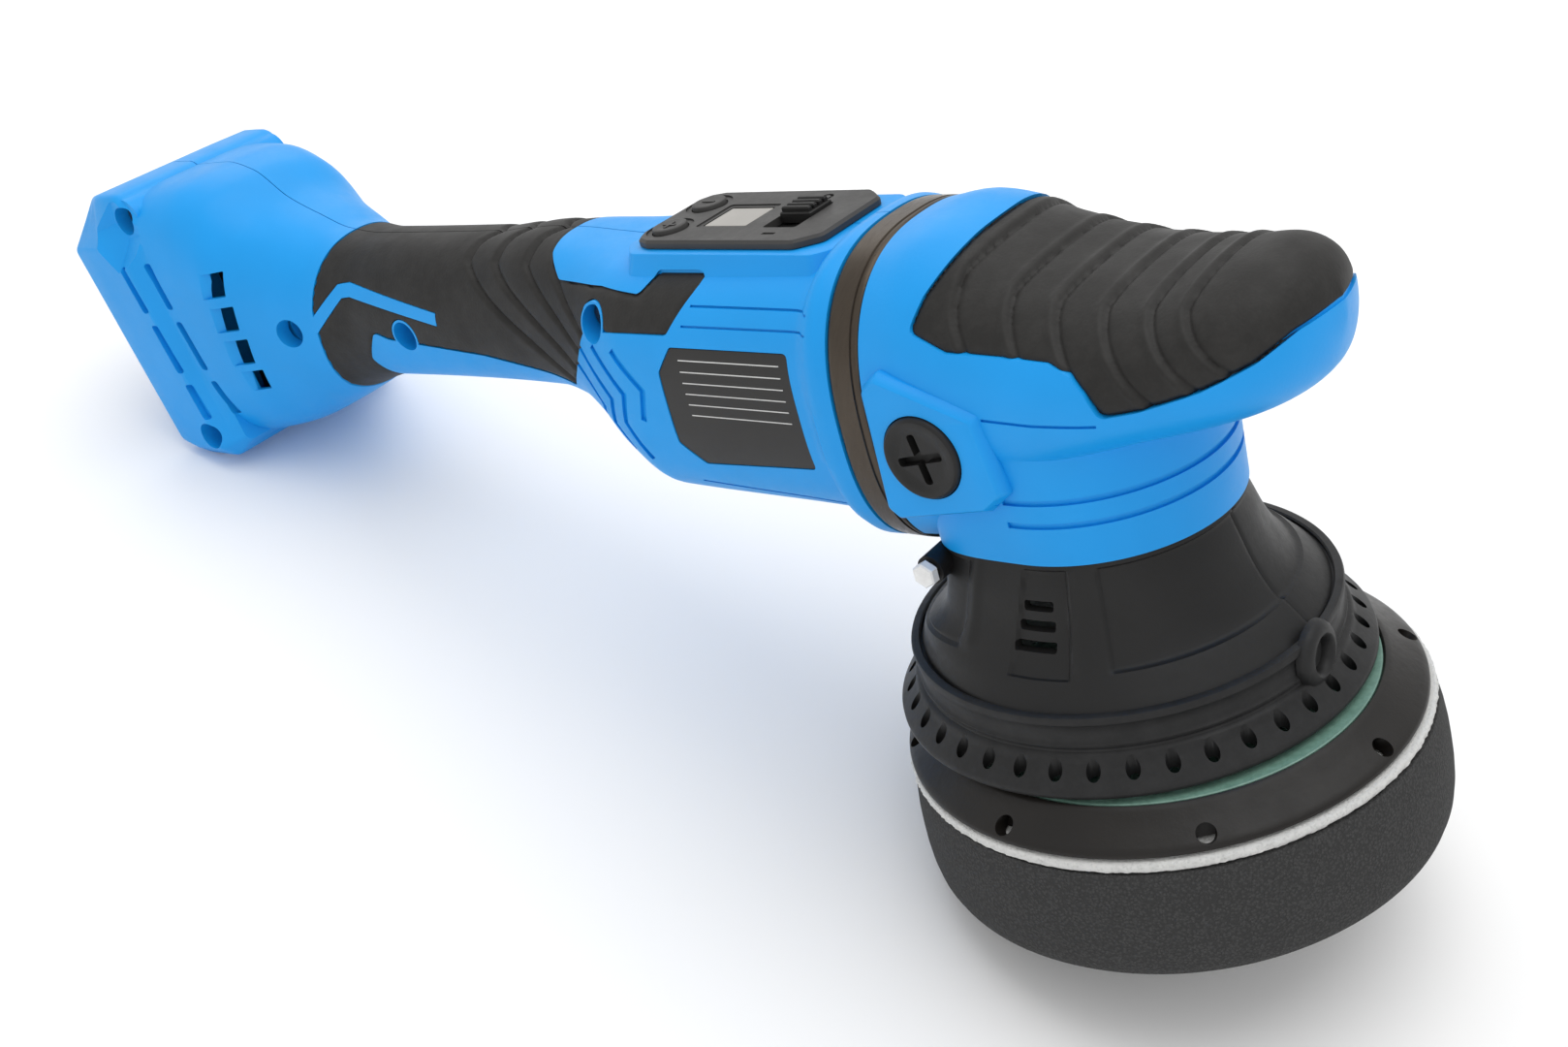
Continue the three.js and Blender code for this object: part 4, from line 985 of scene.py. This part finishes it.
def make_panel():
    rear, front, half, base, top = (PANEL[k] for k in ("rear", "front", "half", "base", "top"))
    corners = [
        (rear, -half + 6), (rear + 1.8, -half + 1.8), (rear + 6, -half), (front - 6, -half),
        (front, -half + 5), (front, half - 5), (front - 6, half), (rear + 6, half),
        (rear + 1.8, half - 1.8), (rear, half - 6),
    ]
    plate = slab(rounded(corners, 3), base, top, "z", chamfer=0.7)
    plate = cut(plate, slab(rounded(opening(WINDOW, 1.3), 1), top - 0.35, top + 2, "z"))
    for side in (-1, 1):
        y = BUTTON["y"] * side
        plate = cut(plate, ring_mark(BUTTON["x"], y, 6.3, BUTTON["radius"] - 0.5, top - 0.45, top + 1, 56),
                    bar(BUTTON["radius"] + GAP, base - 1, top + 3, (BUTTON["x"], y), "z", 48))
    plate = cut(plate, slab(rounded(opening(SWITCH), 1), base - 1, top + 2, "z"),
                slab(rounded(opening(WINDOW), 0.6), base - 1, top + 2, "z"),
                block((-71.8, -12.3, top - 0.5), (-67.8, -11.2, top + 1)),
                ring_mark(-69.8, 11.3, 2.1, 1.2, top - 0.5, top + 1))
    finish(plate, "panel_plate", PANEL_BLACK, ["control_panel"])
    track = rounded(rect(SWITCH["rear"] - 2, SWITCH["front"] + 1, -8.7, 8.7), 0.5)
    track = slab(track, base - 0.9, base - 0.2, "z", chamfer=0.15)
    finish(track, "switch_track", BLACK)
    glass = slab(rounded(opening(WINDOW, -GAP), 0.5), base + 0.2, top - 0.45, "z", chamfer=0.15)
    finish(glass, "lcd_glass_pane", LCD, ["lcd_window"])


def make_buttons():
    """Domed round buttons with a raised plus or minus."""
    top, x, r = PANEL["top"], BUTTON["x"], BUTTON["radius"]
    long, short = 2.1, 0.38
    for name, side, bars in (("plus", -1, ((long, short), (short, long))), ("minus", 1, ((long, short),))):
        y = BUTTON["y"] * side
        low = top - 1.1
        cap = turned([(0, low), (r, low), (r, top + 0.45), (r - 0.15, top + 0.7), (r - 0.55, top + 0.88),
                      (r - 1.4, top + 0.8), (0, top + 0.5)], 56, (x, y))
        for dx, dy in bars:
            mark = rounded(rect(x - dx, x + dx, y - dy, y + dy), 0.2)
            cap = join(cap, slab(mark, top + 0.2, top + 0.9, "z"))
        finish(cap, f"push_button_{name}", PANEL_BLACK, [f"button_{name}"], f"{name}_button")


def make_switch():
    """The ridged slider, at the O end of its slot."""
    top = PANEL["top"]
    middle = (SWITCH["front"] + SWITCH["rear"]) / 2
    reach = (SWITCH["front"] - SWITCH["rear"]) / 2 - GAP
    low = SWITCH["half"] - GAP - SWITCH["knob"]
    outline = rect(middle - reach, middle + reach, low, low + SWITCH["knob"])
    knob = slab(rounded(outline, 0.8), top - 1.6, top + 1, "z", chamfer=0.3)
    ridge_reach, ridge_width = reach - 0.6, 1.4
    for y in (0.6, 2.7, 4.8, 6.9):
        ridge = rect(middle - ridge_reach, middle + ridge_reach, low + y, low + y + ridge_width)
        knob = join(knob, slab(rounded(ridge, 0.3), top + 0.4, top + 2.2, "z", chamfer=0.35))
    finish(knob, "slide_switch_knob", BLACK, ["power_switch_knob"], "power_switch")


# ---- bell housing
BOLT_AT = (-25.5, 84)


def bell_relief(x, y, z):
    """Sunk panels between ribs down the bell, the same on both sides."""
    angle = np.degrees(np.arctan2(-np.abs(y), x))
    low = (87 - z) / 21
    below_collar = 1 - ramp(z, 86.2, 86.8)
    vent = ramp(angle, -91.5 - 3.5 * low, -90.3 - 3.5 * low) * (1 - ramp(angle, -74 - low, -72.8 - low))
    vent *= ramp(z, 64.2, 65) * below_collar
    fin = np.exp(-((angle + 71.8 + 1.6 * low) / (0.7 + 0.5 * low.clip(0))) ** 2)
    fin *= ramp(z, 63.5, 66) * below_collar
    front = ramp(angle, -62.3, -61.2) * ramp(z, 65.2, 66) * below_collar
    rear = (1 - ramp(angle, -115.5, -114)) * ramp(z, 67, 68) * below_collar
    post = np.exp(-((angle + 111) / 1.9) ** 2) * ramp(z, 66, 70)
    seam = np.exp(-(y / 0.45) ** 2) * (x > 0)
    return -0.9 * vent + 0.45 * fin - 0.9 * front - 0.8 * rear + 0.5 * post - 0.35 * seam


def make_bell():
    smooth = [across_z(s, 0.0, 384) for s in curved(BELL, steps(BELL[0][0], COLLAR_Z - GAP, 0.45))]
    outer = loft(relieved(smooth, bell_relief))
    spigot = turned(rect(43.6, 46.6, 51, 60.5), 128)
    inner = [(58, -45.2, 45.2, 45.2), *BELL[1:5], (84.5, -31, 34.6, 34.6)]
    rings = [across_z(s, 1.6 if s[0] < 59 else WALL + 0.6, 128) for s in curved(inner, steps(58, 84.5, 1.5))]
    shell = cut(join(outer, spigot), loft(rings))
    shell = join(shell, *[bar(3.6, 24 * side, 35.4 * side, BOLT_AT) for side in (-1, 1)])
    cutters = [bar(20.4, 80, 99, (0, 0), "z", 96)]
    for side in (-1, 1):
        cutters.append(bar(2, 23 * side, 60 * side, BOLT_AT, "y", 24))
        for i in range(3):
            high = 79.6 - 4.3 * i
            slot = rounded(rect(-0.8 - i, 6.4 + 0.5 * i, high - 2.3, high), 0.6)
            cutters.append(slab(slot, 26 * side, 60 * side))
    shell = cut(shell, *cutters)
    finish(shell, "bell_cover", BLACK, ["bell_housing"], sharp=30)
    for side, sign in (("right", -1), ("left", 1)):
        head = rod([(r, sign * y) for r, y in ((3.2, 36.3), (3.2, 38.2), (2.85, 38.6))], BOLT_AT, "y", 6, 30)
        bolt = join(head, bar(1.7, sign * 27.2, sign * 36.7, BOLT_AT, "y", 20))
        finish(bolt, f"hex_bolt_{side}", WHITE_PAINT, [f"bell_bolt_{side}"])


# ---- dust skirt
SKIRT_HOLES = 39
HOLE_CIRCLE, HOLE_RADIUS = 53.9, 1.65
LUG_AT = (-3.7, 54.2)


def make_skirt():
    """The rubber skirt: a beaded band round the bell, a flared flange with holes and the clamp lug."""
    profile = [(47, 49), (50.6, 46.2), (56.2, 42.3), (56.9, 42.2), (57.3, 42.7), (57.3, 43.6), (56.9, 44.2),
               (53.2, 48.3), (52.6, 49.2), (52.4, 50), (51.9, 50.5), (51.2, 50.8), (51.0, 51.3), (51.3, 51.7),
               (51.35, 52.5), (51, 52.9), (50.7, 53.3), (50.7, 57.2), (51.0, 57.6), (51.5, 57.9),
               (51.55, 59), (51.3, 59.6), (50.7, 59.8), (49.5, 59.8), (49.1, 59.4), (49.1, 58.6), (47, 58.6)]
    skirt = turned(profile, 240)
    for i in range(SKIRT_HOLES):
        a = 2 * math.pi * (i + 0.5) / SKIRT_HOLES
        at = (HOLE_CIRCLE * math.cos(a), HOLE_CIRCLE * math.sin(a))
        skirt = cut(skirt, bar(HOLE_RADIUS, 38, 56, at, "z", 20))
    lug = rod([(8, 49.6), (7.9, 50.8), (7.5, 51.6), (6.9, 52.2), (6.1, 52.6), (5.2, 52.8)], LUG_AT, "x", 56)
    hollow = rod([(3, 49.8), (3.6, 50.1), (3.8, 51.4), (4.4, 52.3), (5.6, 53.2)], LUG_AT, "x", 56)
    skirt = cut(join(skirt, lug), hollow)
    finish(skirt, "skirt_rubber", SKIRT_RUBBER, ["dust_skirt"], sharp=40)


# ---- pad stack
PAD = (PAD_X, PAD_Y)
PORTS, PORT_TURN, PORT_CIRCLE, PORT_Z, PORT_RADIUS = 8, -6.8, 60.2, 36.6, 2.3
# The loop layer and the foam sit a little off centre, as if stuck on by hand.
LOOP_SHIFT = 0.6
FOAM_SHIFT = (1.3, -0.2)


def make_pad():
    disc = turned([(4.3, 38.8), (52, 38.8), (52.3, 39.1), (52.3, 40.6), (52, 40.8), (14, 40.8), (12.4, 41.6),
                   (12, 41.4), (4.3, 41.4)], 160, PAD)
    finish(disc, "laminate_disc", LAMINATE, ["hub_disc"], "pad")
    profile = [(11, 33.3), (61.5, 33.3), (62, 33.6), (62, 34.2), (61.7, 34.7), (60.6, 35.5), (58.4, 37),
               (55.8, 38.9), (54.4, 40.1), (53.6, 40.7), (53, 40.9), (52.6, 40.6), (52.6, 38.5), (11, 38.5)]
    plate = turned(profile, 240, PAD)
    for i in range(PORTS):
        a = math.radians(PORT_TURN + 360 / PORTS * i)
        middle = Vector((PAD_X + PORT_CIRCLE * math.cos(a), PAD_Y + PORT_CIRCLE * math.sin(a), PORT_Z))
        along = Vector((math.cos(a) * 0.86, math.sin(a) * 0.86, 0.5))
        across = Vector((-math.sin(a), math.cos(a), 0))
        third = along.cross(across)
        circle = [(across * math.cos(t) + third * math.sin(t)) * PORT_RADIUS
                  for t in whole_turn(28)]
        rings = [np.array([tuple(middle + along * reach + spoke) for spoke in circle]) for reach in (-5, 6)]
        plate = cut(plate, loft(rings))
    finish(plate, "backing_disc", PLATE_BLACK, ["backing_plate"], "pad")
    rng = np.random.default_rng(5)
    sides = 720
    a = whole_turn(sides)
    rows = [(60, 30.3, 0), (62.3, 30.35, 0.2), (62.7, 30.9, 0.3), (62.8, 31.6, 0.35), (62.7, 32.2, 0.3),
            (62.2, 32.65, 0.2), (60, 32.7, 0)]
    rings = []
    for r, z, fuzz in rows:
        noise = rng.normal(0, 1, sides)
        noise = (noise + np.roll(noise, 1)) / 2 * fuzz * 0.6
        radius = np.minimum(r + noise, 64)
        x, y = PAD_X + LOOP_SHIFT + radius * np.cos(a), PAD_Y + radius * np.sin(a)
        rings.append(np.stack([x, y, np.full(sides, z)], 1))
    finish(loft(rings), "loop_pile_disc", LOOP, ["loop_layer"], "pad", 60)
    profile = [(0, 0), (40, 0), (55.7, 0.02), (58.7, 0.25), (60.9, 1.1), (62.4, 2.6), (63.3, 4.8), (63.8, 8),
               (64, 12), (63.95, 16), (63.8, 20), (63.4, 24), (62.9, 27), (62.6, 29), (62.4, 30), (40, 30),
               (0, 30)]
    foam = turned(profile, 256, (PAD_X + FOAM_SHIFT[0], PAD_Y + FOAM_SHIFT[1]))
    finish(foam, "foam_cushion", FOAM, ["foam_pad"], "pad", 50)


# ---- carried-over inner parts
INNER = (
    (BOARD, ("control_board", "motor_controller_board")),
    (BLACK, ("terminal_block",)),
    (BRASS, ("terminal_blade_positive", "terminal_blade_data", "terminal_blade_negative")),
    (LEAD, ("supply_lead_positive",)),
    (SKIRT_RUBBER, ("supply_lead_negative",)),
    (COPPER, ("motor_stator",)),
    (PANEL_BLACK, ("cooling_fan",)),
    (CAST, ("gear_case", "eccentric")),
    (STEEL, ("motor_bearing_rear", "motor_bearing_front", "rotor", "pinion", "crown_gear",
             "spindle_bearing_upper", "spindle_bearing_lower", "spindle_shaft", "pad_bearing", "pad_shaft",
             "pad_bolt")),
)


def dress_inner():
    for material, names in INNER:
        for name in names:
            for place in frame["nodes"][name].material_slots:
                place.material = material


# ---- camera, light and floor
def aim(obj, target, roll=0.0):
    direction = Vector(target) - obj.location
    obj.rotation_euler = (direction.to_track_quat("-Z", "Y").to_matrix()
                          @ Matrix.Rotation(roll, 3, "Z")).to_euler()


def stage_set():
    camera = placed("camera", bpy.data.cameras.new("camera"))
    camera.data.lens = 42.6
    camera.data.sensor_width = 36
    camera.data.clip_start = 0.01
    camera.location = (0.28683, -0.31762, 0.35673)
    forward = Vector((-0.48494, 0.62963, -0.60696))
    aim(camera, camera.location + forward, math.radians(-0.37))
    scene.camera = camera
    lights = [
        ("overhead", (0.05, 0.25, 1.5), (0, 0.02, 0.05), 1.6, 1.6, 12),
        ("rear_left", (-1.2, 0.9, 0.9), (-0.05, 0, 0.08), 1.0, 1.0, 2.8),
        ("front_fill", (0.9, -1.3, 0.7), (0.05, 0, 0.06), 1.4, 1.0, 1.3),
    ]
    for name, place, target, width, height, watts in lights:
        light = bpy.data.lights.new(name, "AREA")
        light.shape = "RECTANGLE"
        light.size, light.size_y = width, height
        light.energy = watts
        lamp = placed(name, light)
        lamp.location = place
        aim(lamp, target)
    world = bpy.data.worlds.new("studio")
    world.use_nodes = True
    background = world.node_tree.nodes["Background"]
    background.inputs["Color"].default_value = (1, 1, 1, 1)
    background.inputs["Strength"].default_value = 0.8
    scene.world = world
    scene.view_settings.view_transform = "Standard"
    floor = raw("floor", [(x, y, 0) for x, y in rect(-6, 6, -6, 6)], [(0, 1, 2, 3)])
    paper = Nodes("paper")
    paper.set(Metallic=0.0, Roughness=0.9)
    paper.tint(paper.noise(400, 2.0), (0.3, [0.94] * 3), (0.7, [0.96] * 3))
    floor.data.materials.append(paper.material)


make_housing()
make_grip()
make_vent_shade_sheets()
make_screws()
make_plate()
make_ring()
make_head()
make_palm()
make_plugs()
make_panel()
make_buttons()
make_switch()
make_bell()
make_skirt()
make_pad()
dress_inner()
stage_set()
